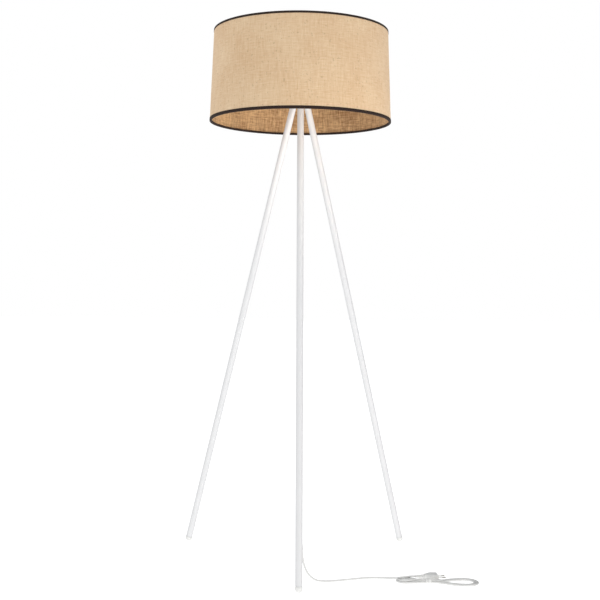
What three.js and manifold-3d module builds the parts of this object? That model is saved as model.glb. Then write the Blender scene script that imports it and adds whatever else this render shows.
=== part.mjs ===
// Tripod floor lamp: three straight steel tubes held by a turned hub, an E27 lampholder with a
// push-bar switch, an LED bulb, a jute drum shade on wire frames, and a mains lead that leaves
// the front leg near the floor and ends in a tied hank with its plug.
//
// Millimetres, +Z up. The lamp stands on Z = 0 with one leg forward, along -Y. The origin is the
// middle of the floor area under the feet and the shade, so the lamp's own axis is AXIS_Y behind it.

import * as THREE from 'three';
import { mergeVertices } from 'three/addons/utils/BufferGeometryUtils.js';
import Module from 'manifold-3d';

const wasm = await Module();
wasm.setup();

// ---------------------------------------------------------------- driving dimensions

const GAP = 0.3; // clearance between pieces that touch

// Tripod
const FOOT_CIRCLE_R = 360; // where a leg's centre line meets the floor
const APEX_Z = 1330; // where the three centre lines would meet
const LEG_AZIMUTHS = { front: -90, right: 30, left: 150 };
const LEG_R = 9;
const LEG_BORE_R = 7.8;
const CAP_R = 9.3;
const CAP_CENTRE_Z = 8; // height of the rounded end's centre: the floor trims its tip flat
const CAP_COLLAR = 5.2;
const CAP_SHANK = 18;

// Hub that clamps the legs
const HUB_Z = 1256;
const HUB_R = 34;
const HUB_HEIGHT = 40;
const HUB_FLOOR = 22; // solid height under the wiring space
const HUB_CAVITY_R = 27;
const SET_SCREW_Z = 1264;
const COVER_THICK = 3;
const COVER_SCREW_R = 30.5; // radius of the circle that the cover screws lie on
const COVER_SCREW_AZIMUTHS = [90, 210, 330];

// Lampholder stack, upwards from the hub's cover
const NIPPLE_R = 5;
const NIPPLE_BORE_R = 3.5;
const COVER_TOP_Z = HUB_Z + HUB_HEIGHT + GAP + COVER_THICK;
const WASHER_Z = COVER_TOP_Z + GAP;
const HOLDER_CAP_Z = WASHER_Z + 1 + GAP;
const HOLDER_SHELL_Z = HOLDER_CAP_Z + 15.1 + GAP;
const HOLDER_SEAT_Z = HOLDER_SHELL_Z + 17.2; // top of the flange that carries the shade
const HOLDER_TOP_Z = HOLDER_SHELL_Z + 33.7;
const PUSH_BAR_Z = HOLDER_SHELL_Z + 5.7;
const PUSH_TRAVEL = 5;

// Bulb, A60 with an E27 cap
const BULB_Z = HOLDER_SHELL_Z + 14;
const BULB_R = 30;
const BULB_LENGTH = 104;

// Shade
const SHADE_Z = 1200;
const SHADE_HEIGHT = 250;
const SHADE_BOTTOM_R = 250;
const SHADE_TOP_R = 240;
const TRIM_THICK = 0.5;
const JUTE_THICK = 0.8;
const FILM_THICK = 0.4;
const RIM_WIRE_R = 1.5;
const FITTER_R = 20.2;
const ARM_AZIMUTHS = [60, 180, 300];
const SHADE_SEGMENTS = 48;

// Mains lead
const CORD_R = 2.4;
const EXIT_HEIGHT = 122.1; // along the leg, up to where the lead crosses the tube's surface
const EXIT_TURN = 19; // degrees from straight back, towards +X
const EXIT_BEND_COS = 0.78; // cosine of the angle between the leg and the strain relief
const EXIT_BEND_R = 20;
const RELIEF_LENGTH = 26;

// Hank and plug, placed from the lamp's axis
const LOBE = { x: 273.5, y: -255.5, r: 24.2 };
const EYE = { x: 426.5, y: -270.5, r: 33.6, hole: 18.5 };
const WAIST = { x: 332, y: -266, half: 10.6, tie: 14 };
const HANK_ENTRY_X = 256;
const HANK_TAIL_X = 302.7;
const HANK_HEIGHT = 9.3;
const PLUG = { x: 303, y: -233, z: 6.85, half: 17.65, neck: 22, body: 36, pinR: 2, pin: 19, pitch: 9.3 };

// The frame's origin: middle of the box around the feet and the shade
const LEAN = Math.atan2(FOOT_CIRCLE_R, APEX_Z);
const FOOT_REACH = FOOT_CIRCLE_R * (1 - CAP_CENTRE_Z / APEX_Z) + CAP_R;
const AXIS_Y = (FOOT_REACH - SHADE_BOTTOM_R) / 2;

// ---------------------------------------------------------------- materials

const finish = (color, roughness, metalness) =>
  new THREE.MeshStandardMaterial({ color, roughness, metalness });

const powderWhite = finish('#f0f0ee', 0.4, 0);
const whitePlastic = finish('#f2f2f0', 0.45, 0);
const leadWhite = finish('#ecebe6', 0.5, 0);
const zincSteel = finish('#b9bcc0', 0.35, 1);
const brass = finish('#c9a14e', 0.3, 1);
const nickel = finish('#c8c8c4', 0.25, 1);
const blackPlastic = finish('#1c1b1a', 0.5, 0);
const jute = finish('#d8bc92', 0.9, 0);
const film = finish('#e6d6b8', 0.4, 0);
const blackTape = finish('#1d1a18', 0.85, 0);
const opal = finish('#f7f5ef', 0.3, 0);
const board = finish('#2f6b46', 0.5, 0);

// ---------------------------------------------------------------- solids

const rad = THREE.MathUtils.degToRad;

// Positions only, shared vertices merged, collapsed triangles dropped and faces outwards.
function cleaned(geometry) {
  const bare = geometry.clone();
  bare.deleteAttribute('normal');
  bare.deleteAttribute('uv');
  const merged = mergeVertices(bare, 1e-4);
  const position = merged.attributes.position;
  const corners = [0, 1, 2].map(() => new THREE.Vector3());
  const kept = [];
  let volume = 0;
  for (let i = 0; i < merged.index.count; i += 3) {
    const [a, b, c] = [0, 1, 2].map((k) => merged.index.getX(i + k));
    if (a === b || b === c || c === a) continue;
    kept.push(a, b, c);
    [a, b, c].forEach((index, k) => corners[k].fromBufferAttribute(position, index));
    volume += corners[0].dot(corners[1].clone().cross(corners[2]));
  }
  if (volume < 0) kept.reverse();
  const solid = new THREE.BufferGeometry();
  solid.setAttribute('position', position);
  solid.setIndex(new THREE.BufferAttribute(new Uint32Array(kept), 1));
  return solid;
}

function toManifold(geometry) {
  const solid = cleaned(geometry);
  return new wasm.Manifold(new wasm.Mesh({
    numProp: 3,
    vertProperties: new Float32Array(solid.attributes.position.array),
    triVerts: new Uint32Array(solid.index.array),
  }));
}

function fromManifold(manifold) {
  const mesh = manifold.getMesh();
  const geometry = new THREE.BufferGeometry();
  geometry.setAttribute('position', new THREE.BufferAttribute(new Float32Array(mesh.vertProperties), 3));
  geometry.setIndex(new THREE.BufferAttribute(new Uint32Array(mesh.triVerts), 1));
  return geometry;
}

const combine = (operation, first, others) =>
  fromManifold(others.reduce((sum, next) => sum[operation](toManifold(next)), toManifold(first)));
const cut = (base, ...tools) => combine('subtract', base, tools);
const join = (base, ...others) => combine('add', base, others);
const common = (base, ...others) => combine('intersect', base, others);

// A turned shape about +Z from a closed [radius, height] outline.
function turned(outline, segments = 24) {
  const points = outline.map(([r, z]) => new THREE.Vector2(r, z));
  const first = points[0];
  const last = points[points.length - 1];
  if (first.x > 0 || last.x > 0) points.push(first.clone());
  return new THREE.LatheGeometry(points, segments).rotateX(Math.PI / 2);
}

const rod = (radius, z0, z1, segments = 16) =>
  turned([[0, z0], [radius, z0], [radius, z1], [0, z1]], segments);
const sleeve = (bore, radius, z0, z1, segments = 24) =>
  turned([[bore, z0], [radius, z0], [radius, z1], [bore, z1]], segments);

const moved = (geometry, x, y, z) => geometry.clone().translate(x, y, z);
const around = (geometry, degrees) => geometry.clone().rotateZ(rad(degrees));
const lyingAlongX = (geometry) => geometry.clone().rotateY(Math.PI / 2);
const block = (x0, x1, y0, y1, z0, z1) =>
  new THREE.BoxGeometry(x1 - x0, y1 - y0, z1 - z0)
    .translate((x0 + x1) / 2, (y0 + y1) / 2, (z0 + z1) / 2);

const plate = (shape, z0, z1, curveSegments = 8) =>
  new THREE.ExtrudeGeometry(shape, { depth: z1 - z0, bevelEnabled: false, curveSegments })
    .translate(0, 0, z0);

// A route through given stations. A sweep along it puts one section at each station, so the
// stations are close together in the bends and far apart along the straights.
class StationRoute extends THREE.Curve {
  constructor(stations) {
    super();
    this.stations = stations;
  }

  getPoint(t, target = new THREE.Vector3()) {
    const last = this.stations.length - 1;
    const at = Math.min(Math.max(t, 0), 1) * last;
    const i = Math.min(Math.floor(at), last - 1);
    return target.lerpVectors(this.stations[i], this.stations[i + 1], at - i);
  }

  getPointAt(t, target) {
    return this.getPoint(t, target);
  }

  getTangentAt(t, target) {
    return this.getTangent(t, target);
  }
}

function swept(route, radius, steps, sides = 8) {
  const section = new THREE.Shape();
  for (let i = 0; i < sides; i += 1) {
    const angle = ((i + 0.5) / sides) * 2 * Math.PI;
    const to = i === 0 ? 'moveTo' : 'lineTo';
    section[to](radius * Math.cos(angle), radius * Math.sin(angle));
  }
  return new THREE.ExtrudeGeometry(section, { steps, extrudePath: route, bevelEnabled: false });
}

const sweptStations = (stations, radius, sides = 8) =>
  swept(new StationRoute(stations), radius, stations.length - 1, sides);

function arcPoints(centreR, centreZ, radius, fromDegrees, toDegrees, steps) {
  return Array.from({ length: steps + 1 }, (_, i) => {
    const angle = rad(fromDegrees + ((toDegrees - fromDegrees) * i) / steps);
    return [centreR + radius * Math.cos(angle), centreZ + radius * Math.sin(angle)];
  });
}

// ---------------------------------------------------------------- scene graph

const lamp = new THREE.Group();
lamp.position.y = AXIS_Y;

function add(parent, name, geometry, material) {
  const mesh = new THREE.Mesh(cleaned(geometry), material);
  mesh.name = name;
  parent.add(mesh);
}

// A leg's own frame: origin where its centre line meets the floor, +Z up the tube towards the
// apex, +X outwards.
function legFrame(azimuth) {
  const turn = new THREE.Group();
  turn.rotation.z = rad(azimuth);
  const lean = new THREE.Group();
  lean.position.x = FOOT_CIRCLE_R;
  lean.rotation.y = -LEAN;
  turn.add(lean);
  turn.updateMatrixWorld(true);
  return { turn, lean, matrix: lean.matrixWorld.clone() };
}

const alongLeg = (height) => height / Math.cos(LEAN); // distance up the tube to a height

// ---------------------------------------------------------------- legs and feet

const TUBE_START = alongLeg(CAP_CENTRE_Z) + CAP_COLLAR + GAP;
const TUBE_END = alongLeg(HUB_Z + HUB_FLOOR - 3);

// The lead's way out of the front leg lies in one plane through the tube's axis: down the
// middle, round an arc, then straight through the wall and the strain relief.
const EXIT_SIN = Math.sqrt(1 - EXIT_BEND_COS ** 2);
const exitFrame = new THREE.Matrix4().makeRotationZ(rad(180 - EXIT_TURN));
const exitPoint = (distance) => {
  // Distance is counted along the lead's line from the tube's surface, outwards.
  const local = new THREE.Vector3(LEG_R + distance * EXIT_SIN, 0, EXIT_HEIGHT - distance * EXIT_BEND_COS);
  return local.applyMatrix4(exitFrame);
};
const onExitLine = (geometry) => {
  const placed = geometry.clone().rotateY(Math.PI - Math.asin(EXIT_SIN));
  return placed.translate(LEG_R, 0, EXIT_HEIGHT).applyMatrix4(exitFrame);
};

function legTube(withExit) {
  const tube = sleeve(LEG_BORE_R, LEG_R, TUBE_START, TUBE_END, 20);
  return withExit ? cut(tube, onExitLine(rod(4.5, -9, 9, 16))) : tube;
}

function footCap() {
  const centre = alongLeg(CAP_CENTRE_Z);
  const top = centre + CAP_COLLAR;
  const cap = turned([
    ...arcPoints(0, centre, CAP_R, -90, 0, 6).map(([r, z]) => [Math.max(r, 0), z]),
    [CAP_R, top], [LEG_BORE_R - 0.4, top], [LEG_BORE_R - 0.4, top + CAP_SHANK], [0, top + CAP_SHANK],
  ], 20);
  const floor = block(-40, 40, -40, 40, -40, 0).rotateY(LEAN);
  return cut(cap, floor);
}

// Moulded boot: a saddle that sits on the tube, a neck through the wall and a tapered sleeve.
function strainRelief() {
  const sleeveOutside = onExitLine(turned([
    [0, -7], [6, -7], [5.4, 6], [3.3, RELIEF_LENGTH], [0, RELIEF_LENGTH]], 16));
  const saddle = common(
    onExitLine(rod(7.5, -12, 12, 20)),
    sleeve(LEG_R + GAP, LEG_R + 1.5, EXIT_HEIGHT - 40, EXIT_HEIGHT + 40, 32));
  const legSpace = rod(LEG_R + GAP, EXIT_HEIGHT - 60, EXIT_HEIGHT + 60, 32);
  const outside = join(cut(sleeveOutside, legSpace), saddle);
  const neck = onExitLine(rod(4.2, -8, 8, 16));
  return cut(join(outside, neck), onExitLine(rod(CORD_R + GAP, -20, RELIEF_LENGTH + 5, 12)));
}

const frontLeg = legFrame(LEG_AZIMUTHS.front);
for (const [side, azimuth] of Object.entries(LEG_AZIMUTHS)) {
  const { turn, lean } = side === 'front' ? frontLeg : legFrame(azimuth);
  lamp.add(turn);
  add(lean, `leg_${side}`, legTube(side === 'front'), powderWhite);
  add(lean, `foot_cap_${side}`, footCap(), whitePlastic);
}
add(frontLeg.lean, 'cord_strain_relief', strainRelief(), whitePlastic);

// ---------------------------------------------------------------- hub

const hubTop = HUB_Z + HUB_HEIGHT;
const cavityZ = HUB_Z + HUB_FLOOR;

function hubBody() {
  const blank = turned([
    [0, HUB_Z], [HUB_R - 1.5, HUB_Z], [HUB_R, HUB_Z + 1.5], [HUB_R, hubTop],
    [HUB_CAVITY_R, hubTop], [HUB_CAVITY_R, cavityZ], [0, cavityZ]], 36);
  const bores = Object.values(LEG_AZIMUTHS).map((azimuth) =>
    rod(LEG_R + GAP, alongLeg(HUB_Z) - 20, alongLeg(cavityZ) + 12, 20)
      .applyMatrix4(legFrame(azimuth).matrix));
  const setScrewHoles = Object.values(LEG_AZIMUTHS).map((azimuth) =>
    around(moved(lyingAlongX(rod(2.8, 24, HUB_R + 4, 12)), 0, 0, SET_SCREW_Z), azimuth));
  const coverScrewHoles = COVER_SCREW_AZIMUTHS.map((azimuth) =>
    around(moved(rod(1.8, hubTop - 12, hubTop + 2, 10), COVER_SCREW_R, 0, 0), azimuth));
  return cut(blank, ...bores, ...setScrewHoles, ...coverScrewHoles);
}

function setScrew() {
  const inner = 28.3; // just clear of the leaning tube
  const socket = new THREE.CylinderGeometry(1.45, 1.45, 5, 6).rotateZ(Math.PI / 2)
    .translate(HUB_R, 0, 0);
  const screw = cut(lyingAlongX(rod(2.5, inner, HUB_R - 0.4, 12)), socket);
  return moved(screw, 0, 0, SET_SCREW_Z);
}

function hubCover() {
  const disc = turned([
    [NIPPLE_R + GAP, hubTop + GAP], [HUB_R, hubTop + GAP], [HUB_R, COVER_TOP_Z - 1],
    [HUB_R - 1, COVER_TOP_Z], [NIPPLE_R + GAP, COVER_TOP_Z]], 36);
  const holes = COVER_SCREW_AZIMUTHS.map((azimuth) =>
    around(moved(rod(1.8, hubTop, COVER_TOP_Z + 2, 10), COVER_SCREW_R, 0, 0), azimuth));
  return cut(disc, ...holes);
}

function coverScrew() {
  const head = COVER_TOP_Z + GAP;
  const screw = turned([
    [0, hubTop - 9], [1.5, hubTop - 9], [1.5, head], [2.8, head], [2.8, head + 1.2],
    [1.8, head + 1.9], [0, head + 1.9]], 12);
  const slot = block(-4, 4, -0.35, 0.35, head + 1, head + 3);
  return moved(cut(screw, slot), COVER_SCREW_R, 0, 0);
}

function hexNut() {
  const shape = new THREE.Shape();
  for (let i = 0; i < 6; i += 1) {
    const to = i === 0 ? 'moveTo' : 'lineTo';
    shape[to](8.1 * Math.cos(rad(60 * i)), 8.1 * Math.sin(rad(60 * i)));
  }
  shape.holes.push(new THREE.Path().absarc(0, 0, NIPPLE_R + GAP, 0, 2 * Math.PI, true));
  return plate(shape, hubTop - 4.1, hubTop - 0.1, 8);
}

add(lamp, 'hub_body', hubBody(), powderWhite);
add(lamp, 'hub_cover', hubCover(), powderWhite);
Object.entries(LEG_AZIMUTHS).forEach(([side, azimuth]) =>
  add(lamp, `leg_set_screw_${side}`, around(setScrew(), azimuth), zincSteel));
COVER_SCREW_AZIMUTHS.forEach((azimuth, i) =>
  add(lamp, `cover_screw_${i + 1}`, around(coverScrew(), azimuth), zincSteel));
add(lamp, 'threaded_nipple', sleeve(NIPPLE_BORE_R, NIPPLE_R, hubTop - 5.5, HOLDER_CAP_Z + 6, 16), zincSteel);
add(lamp, 'nipple_nut', hexNut(), zincSteel);
add(lamp, 'nipple_washer', sleeve(NIPPLE_R + GAP, 9, WASHER_Z, WASHER_Z + 1, 20), zincSteel);

// ---------------------------------------------------------------- lampholder

function holderCap() {
  const z = HOLDER_CAP_Z;
  return turned([
    [NIPPLE_R + GAP, z], [14, z], [17.5, z + 2.2], [19.5, z + 7], [19.5, z + 15.1],
    [17.3, z + 15.1], [17.3, z + 7.5], [14.5, z + 3.2], [NIPPLE_R + GAP, z + 3.2]], 28);
}

function holderShell() {
  const z = HOLDER_SHELL_Z;
  const shell = turned([
    [19.5, z], [19.5, HOLDER_SEAT_Z - 2.5], [23, HOLDER_SEAT_Z - 2.5], [23, HOLDER_SEAT_Z],
    [19.4, HOLDER_SEAT_Z], [19.4, HOLDER_TOP_Z - 1], [18.6, HOLDER_TOP_Z], [14.8, HOLDER_TOP_Z],
    [14.8, z + 11.2], [17.2, z + 11.2], [17.2, z]], 28);
  return cut(shell, moved(lyingAlongX(rod(2.6, -30, 30, 12)), 0, 0, PUSH_BAR_Z));
}

function holderInsert() {
  const z = HOLDER_SHELL_Z;
  return cut(rod(16.9, z + GAP, z + 10.9, 24),
    moved(lyingAlongX(rod(2.6, -30, 30, 12)), 0, 0, PUSH_BAR_Z));
}

// Sprung brass strip under the bulb's tip.
function centreContact() {
  const z = HOLDER_SHELL_Z + 11.2;
  const strip = new THREE.Shape();
  strip.moveTo(-9, 0);
  strip.lineTo(-4, 0);
  strip.lineTo(-1.5, 1.9);
  strip.lineTo(1.5, 1.9);
  strip.lineTo(4, 0);
  strip.lineTo(9, 0);
  strip.lineTo(9, 0.5);
  strip.lineTo(4.2, 0.5);
  strip.lineTo(1.7, 2.4);
  strip.lineTo(-1.7, 2.4);
  strip.lineTo(-4.2, 0.5);
  strip.lineTo(-9, 0.5);
  strip.closePath();
  return plate(strip, -3, 3).rotateX(Math.PI / 2).translate(0, 0, z);
}

function screwShell() {
  const z = HOLDER_SHELL_Z + 11.7;
  return turned([
    [13.7, z], [14.3, z], [14.3, z + 6], [14.5, z + 7.5], [14.3, z + 9], [14.3, z + 17.5],
    [13.7, z + 17.5], [13.7, z + 9], [13.9, z + 7.5], [13.7, z + 6]], 24);
}

function terminalScrew(side) {
  const z = HOLDER_SHELL_Z - 6.6;
  const post = cut(rod(3, z, HOLDER_SHELL_Z, 12), block(-4, 4, -0.4, 0.4, z - 1, z + 1.2));
  return moved(post, side * 9.5, 0, 0);
}

function pushBar() {
  const half = 19.5 + PUSH_TRAVEL / 2 + 2.5; // protrudes 2.5 to 7.5 from the shell
  const bar = turned([[0, -half], [1.6, -half], [2.2, -half + 0.8], [2.2, half - 0.8],
    [1.6, half], [0, half]], 12);
  return moved(lyingAlongX(bar), -PUSH_TRAVEL / 2, 0, PUSH_BAR_Z);
}

function shadeNut() {
  const z = HOLDER_SEAT_Z + 2.4;
  return turned([[19.8, z], [25.6, z], [25.6, z + 2], [23, z + 3], [23, z + 6.5], [19.8, z + 6.5]], 28);
}

add(lamp, 'holder_cap', holderCap(), whitePlastic);
add(lamp, 'holder_shell', holderShell(), whitePlastic);
add(lamp, 'holder_insert', holderInsert(), whitePlastic);
add(lamp, 'holder_centre_contact', centreContact(), brass);
add(lamp, 'holder_screw_shell', screwShell(), brass);
add(lamp, 'holder_terminal_live', terminalScrew(1), brass);
add(lamp, 'holder_terminal_neutral', terminalScrew(-1), brass);
add(lamp, 'switch_push_bar', pushBar(), whitePlastic);
add(lamp, 'shade_ring_nut', shadeNut(), whitePlastic);

// ---------------------------------------------------------------- bulb

function bulbCap() {
  const pitch = 3.6;
  const wave = [];
  for (let i = 0; i <= 8; i += 1) {
    wave.push([i % 2 === 0 ? 12.6 : 13.1, BULB_Z + 6 + (i * pitch) / 2]);
  }
  return turned([[5.5, BULB_Z + 4.9], [11, BULB_Z + 4.9], ...wave,
    [12.6, BULB_Z + 22], [11.8, BULB_Z + 22], [11.8, BULB_Z + 6.5], [5.5, BULB_Z + 5.6]], 20);
}

function bulbBody() {
  const z = BULB_Z;
  return turned([[11.8, z + 22.3], [13.4, z + 22.3], [14.2, z + 30], [19, z + 43], [25.9, z + 57.6],
    [24.4, z + 57.6], [17.4, z + 43.5], [12.6, z + 30.5], [11.8, z + 26]], 24);
}

function ledBoard() {
  const z = BULB_Z + 55;
  const chips = Array.from({ length: 8 }, (_, i) =>
    around(block(13, 16.5, -1.4, 1.4, z + 1.4, z + 2.2), i * 45));
  return join(rod(20.5, z, z + 1.6, 24), ...chips);
}

function ledDriver() {
  const z = BULB_Z + 8;
  return join(block(-8, 8, -0.8, 0.8, z, z + 26), block(-6, -1, 0.6, 6.6, z + 4, z + 12),
    block(1, 6, 0.6, 5.2, z + 8, z + 18));
}

function bulbGlobe() {
  const rim = BULB_Z + 58;
  const centre = BULB_Z + BULB_LENGTH - BULB_R;
  const low = (Math.asin((rim - centre) / BULB_R) * 180) / Math.PI;
  const inside = arcPoints(0, centre, BULB_R - 1.2, 90, low, 8);
  const outside = arcPoints(0, centre, BULB_R, low, 90, 8);
  // The dome closes on the axis above and below its wall, and its rim is open.
  inside[0][0] = 0;
  outside[8][0] = 0;
  return turned([...inside, ...outside], 24);
}

add(lamp, 'bulb_tip_contact', turned([[0, BULB_Z], [2.6, BULB_Z], [4.6, BULB_Z + 1],
  [4.6, BULB_Z + 1.8], [0, BULB_Z + 1.8]], 16), brass);
add(lamp, 'bulb_insulator', turned([[0, BULB_Z + 2.1], [5, BULB_Z + 2.1], [10, BULB_Z + 4.6],
  [0, BULB_Z + 4.6]], 20), blackPlastic);
add(lamp, 'bulb_screw_cap', bulbCap(), nickel);
add(lamp, 'bulb_body', bulbBody(), whitePlastic);
add(lamp, 'bulb_driver_board', ledDriver(), board);
add(lamp, 'bulb_led_board', ledBoard(), board);
add(lamp, 'bulb_globe', bulbGlobe(), opal);

// ---------------------------------------------------------------- shade

const shadeTopZ = SHADE_Z + SHADE_HEIGHT;
const trimR = (z) => SHADE_BOTTOM_R - ((SHADE_BOTTOM_R - SHADE_TOP_R) * (z - SHADE_Z)) / SHADE_HEIGHT;
const juteR = (z) => trimR(z) - TRIM_THICK - GAP;
const filmR = (z) => juteR(z) - JUTE_THICK - GAP;
const wireR = (z) => filmR(z) - FILM_THICK - GAP - RIM_WIRE_R;

function coneWall(outer, thick, z0, z1) {
  return turned([[outer(z0) - thick, z0], [outer(z0), z0], [outer(z1), z1], [outer(z1) - thick, z1]],
    SHADE_SEGMENTS);
}

// Edge tape folded over the rim: it covers the cloth outside and the wire inside.
function edgeTape(rimZ, way, outsideDepth, insideDepth) {
  const z = (depth) => rimZ + way * depth;
  const inner = wireR(rimZ) - RIM_WIRE_R - GAP - TRIM_THICK;
  return turned([
    [inner, z(0)], [trimR(rimZ), z(0)], [trimR(z(outsideDepth)), z(outsideDepth)],
    [trimR(z(outsideDepth)) - TRIM_THICK, z(outsideDepth)],
    [trimR(z(TRIM_THICK)) - TRIM_THICK, z(TRIM_THICK)], [inner + TRIM_THICK, z(TRIM_THICK)],
    [inner + TRIM_THICK, z(insideDepth)], [inner, z(insideDepth)]], SHADE_SEGMENTS);
}

function rimWire(z) {
  const section = arcPoints(wireR(z), z, RIM_WIRE_R, 0, 300, 5);
  return turned(section, SHADE_SEGMENTS);
}

// Three wire arms that rise from the flat ring clamped on the lampholder to the top wire ring.
function shadeSpider() {
  const fitterZ = HOLDER_SEAT_Z + GAP;
  const start = new THREE.Vector2(26.9, fitterZ + 1.1);
  const underRing = new THREE.Vector2(wireR(topWireZ) + 1.5, topWireZ - 2.95);
  const length = start.distanceTo(underRing) - 1.2;
  const arm = rod(RIM_WIRE_R, 0, length, 8)
    .rotateY(Math.atan2(underRing.x - start.x, underRing.y - start.y))
    .translate(start.x, 0, start.y);
  const arms = ARM_AZIMUTHS.map((azimuth) => around(arm, azimuth));
  return join(sleeve(FITTER_R, 28, fitterZ, fitterZ + 1.8, 28), ...arms);
}

const clothZ0 = SHADE_Z + TRIM_THICK + GAP;
const clothZ1 = shadeTopZ - TRIM_THICK - GAP;
const topWireZ = clothZ1 - RIM_WIRE_R;
add(lamp, 'shade_jute', coneWall(juteR, JUTE_THICK, clothZ0, clothZ1), jute);
add(lamp, 'shade_film', coneWall(filmR, FILM_THICK, clothZ0, clothZ1), film);
add(lamp, 'shade_top_ring', rimWire(topWireZ), powderWhite);
add(lamp, 'shade_spider', shadeSpider(), powderWhite);
add(lamp, 'shade_bottom_ring', rimWire(clothZ0 + RIM_WIRE_R), powderWhite);
add(lamp, 'shade_top_trim', edgeTape(shadeTopZ, -1, 6, 3.5), blackTape);
add(lamp, 'shade_bottom_trim', edgeTape(SHADE_Z, 1, 7.5, 5.5), blackTape);

// ---------------------------------------------------------------- mains lead inside the lamp

const reliefTip = exitPoint(RELIEF_LENGTH).applyMatrix4(frontLeg.matrix);
const exitDirection = exitPoint(RELIEF_LENGTH + 1).applyMatrix4(frontLeg.matrix).sub(reliefTip);

// From the lampholder through the nipple and the hub, down the front leg and out of its wall.
function innerRoute() {
  const throughHub = [
    [0, 1307.5], [0, 1296], [0, 1291], [1.4, 1287], [4.6, 1282.5], [8.2, 1278], [11, 1273.6],
    [13.2, 1268.5], [15.5, 1262.5], [18.1, 1255], [21.3, 1246], [26, 1232],
  ].map(([r, z]) => new THREE.Vector3(0, -r, z));
  const arcDrop = EXIT_BEND_R * EXIT_SIN;
  const lineStart = -(LEG_R - EXIT_BEND_R * (1 - EXIT_BEND_COS)) / EXIT_SIN;
  const arcTop = EXIT_HEIGHT - lineStart * EXIT_BEND_COS + arcDrop;
  const inLeg = [alongLeg(1215), alongLeg(800), alongLeg(400), arcTop + 12]
    .map((height) => new THREE.Vector3(0, 0, height));
  const bend = Math.acos(EXIT_BEND_COS);
  for (let i = 0; i <= 4; i += 1) {
    const angle = (bend * i) / 4;
    const across = EXIT_BEND_R * (1 - Math.cos(angle));
    inLeg.push(new THREE.Vector3(across, 0, arcTop - EXIT_BEND_R * Math.sin(angle)).applyMatrix4(exitFrame));
  }
  inLeg.push(exitPoint(10), exitPoint(RELIEF_LENGTH));
  return [...throughHub, ...inLeg.map((point) => point.applyMatrix4(frontLeg.matrix))];
}

function terminalWire(side) {
  const top = HOLDER_SHELL_Z - 3;
  return sweptStations([
    new THREE.Vector3(side * 1.1, 0, 1307.9), new THREE.Vector3(side * 1.2, 0, 1310),
    new THREE.Vector3(side * 2.2, 0, top - 1), new THREE.Vector3(side * 4, 0, top),
    new THREE.Vector3(side * 6.1, 0, top)], 0.8, 6);
}

add(lamp, 'cord_inside', sweptStations(innerRoute(), CORD_R), leadWhite);
add(lamp, 'wire_live', terminalWire(1), finish('#6b4423', 0.5, 0));
add(lamp, 'wire_neutral', terminalWire(-1), finish('#2f5fa8', 0.5, 0));

// ---------------------------------------------------------------- mains lead on the floor

const FLOOR_LINE = CORD_R + 0.05;

// Down from the strain relief to the floor and along it to the hank.
const freeRoute = [
  ...[[9.9, -303.9, 76.4], [12.4, -298.6, 61], [16.2, -293.3, 46.2], [21.8, -287.2, 32.4],
    [29.5, -280.6, 20.2], [39.6, -274.3, 10.6], [51.5, -269.4, 4.8], [64.5, -266.6, FLOOR_LINE + 0.4]],
  ...[[78, -265], [98, -260.5], [117, -254], [135, -247.5], [150, -241.8], [163, -237.2],
    [177, -233.6], [190, -231.8], [204, -231.4], [217, -232.2], [230, -233.3], [243, -233.9],
    [HANK_ENTRY_X - GAP, -234]].map(([x, y]) => [x, y, FLOOR_LINE]),
].map(([x, y, z]) => new THREE.Vector3(x, y, z));

function freeCord() {
  const start = reliefTip.clone().addScaledVector(exitDirection, GAP);
  const route = new THREE.CatmullRomCurve3([start, ...freeRoute], false, 'centripetal');
  return swept(route, CORD_R, 46);
}

// Plan outline of the hank: a closed lobe, a tied waist and an open eye.
function hankOutline() {
  const top = WAIST.y + WAIST.half;
  const bottom = WAIST.y - WAIST.half;
  const left = WAIST.x - 10;
  const right = WAIST.x + 10;
  const tabLow = -237.2;
  const tabAngle = Math.PI - Math.asin((tabLow - LOBE.y) / LOBE.r);
  const shape = new THREE.Shape();
  shape.moveTo(HANK_ENTRY_X, -230);
  shape.lineTo(HANK_TAIL_X, -230);
  shape.lineTo(HANK_TAIL_X, -237);
  shape.bezierCurveTo(304, -246, 311, top, left, top);
  shape.lineTo(right, top);
  shape.bezierCurveTo(right + 30, top, EYE.x - 32, EYE.y + EYE.r, EYE.x, EYE.y + EYE.r);
  shape.absarc(EYE.x, EYE.y, EYE.r, Math.PI / 2, -Math.PI / 2, true);
  shape.bezierCurveTo(EYE.x - 32, EYE.y - EYE.r, right + 30, bottom, right, bottom);
  shape.lineTo(left, bottom);
  shape.bezierCurveTo(left - 18, bottom, LOBE.x + 16, LOBE.y - LOBE.r, LOBE.x, LOBE.y - LOBE.r);
  shape.absarc(LOBE.x, LOBE.y, LOBE.r, -Math.PI / 2, tabAngle - 2 * Math.PI, true);
  shape.lineTo(HANK_ENTRY_X, tabLow);
  shape.closePath();
  const hole = new THREE.Path();
  hole.moveTo(EYE.x, EYE.y - EYE.hole);
  hole.absarc(EYE.x, EYE.y, EYE.hole, -Math.PI / 2, Math.PI / 2, false);
  hole.bezierCurveTo(EYE.x - 24, EYE.y + EYE.hole, 392, EYE.y + 3, 374, EYE.y + 1);
  hole.bezierCurveTo(392, EYE.y - 3, EYE.x - 24, EYE.y - EYE.hole, EYE.x, EYE.y - EYE.hole);
  shape.holes.push(hole);
  return shape;
}

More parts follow.
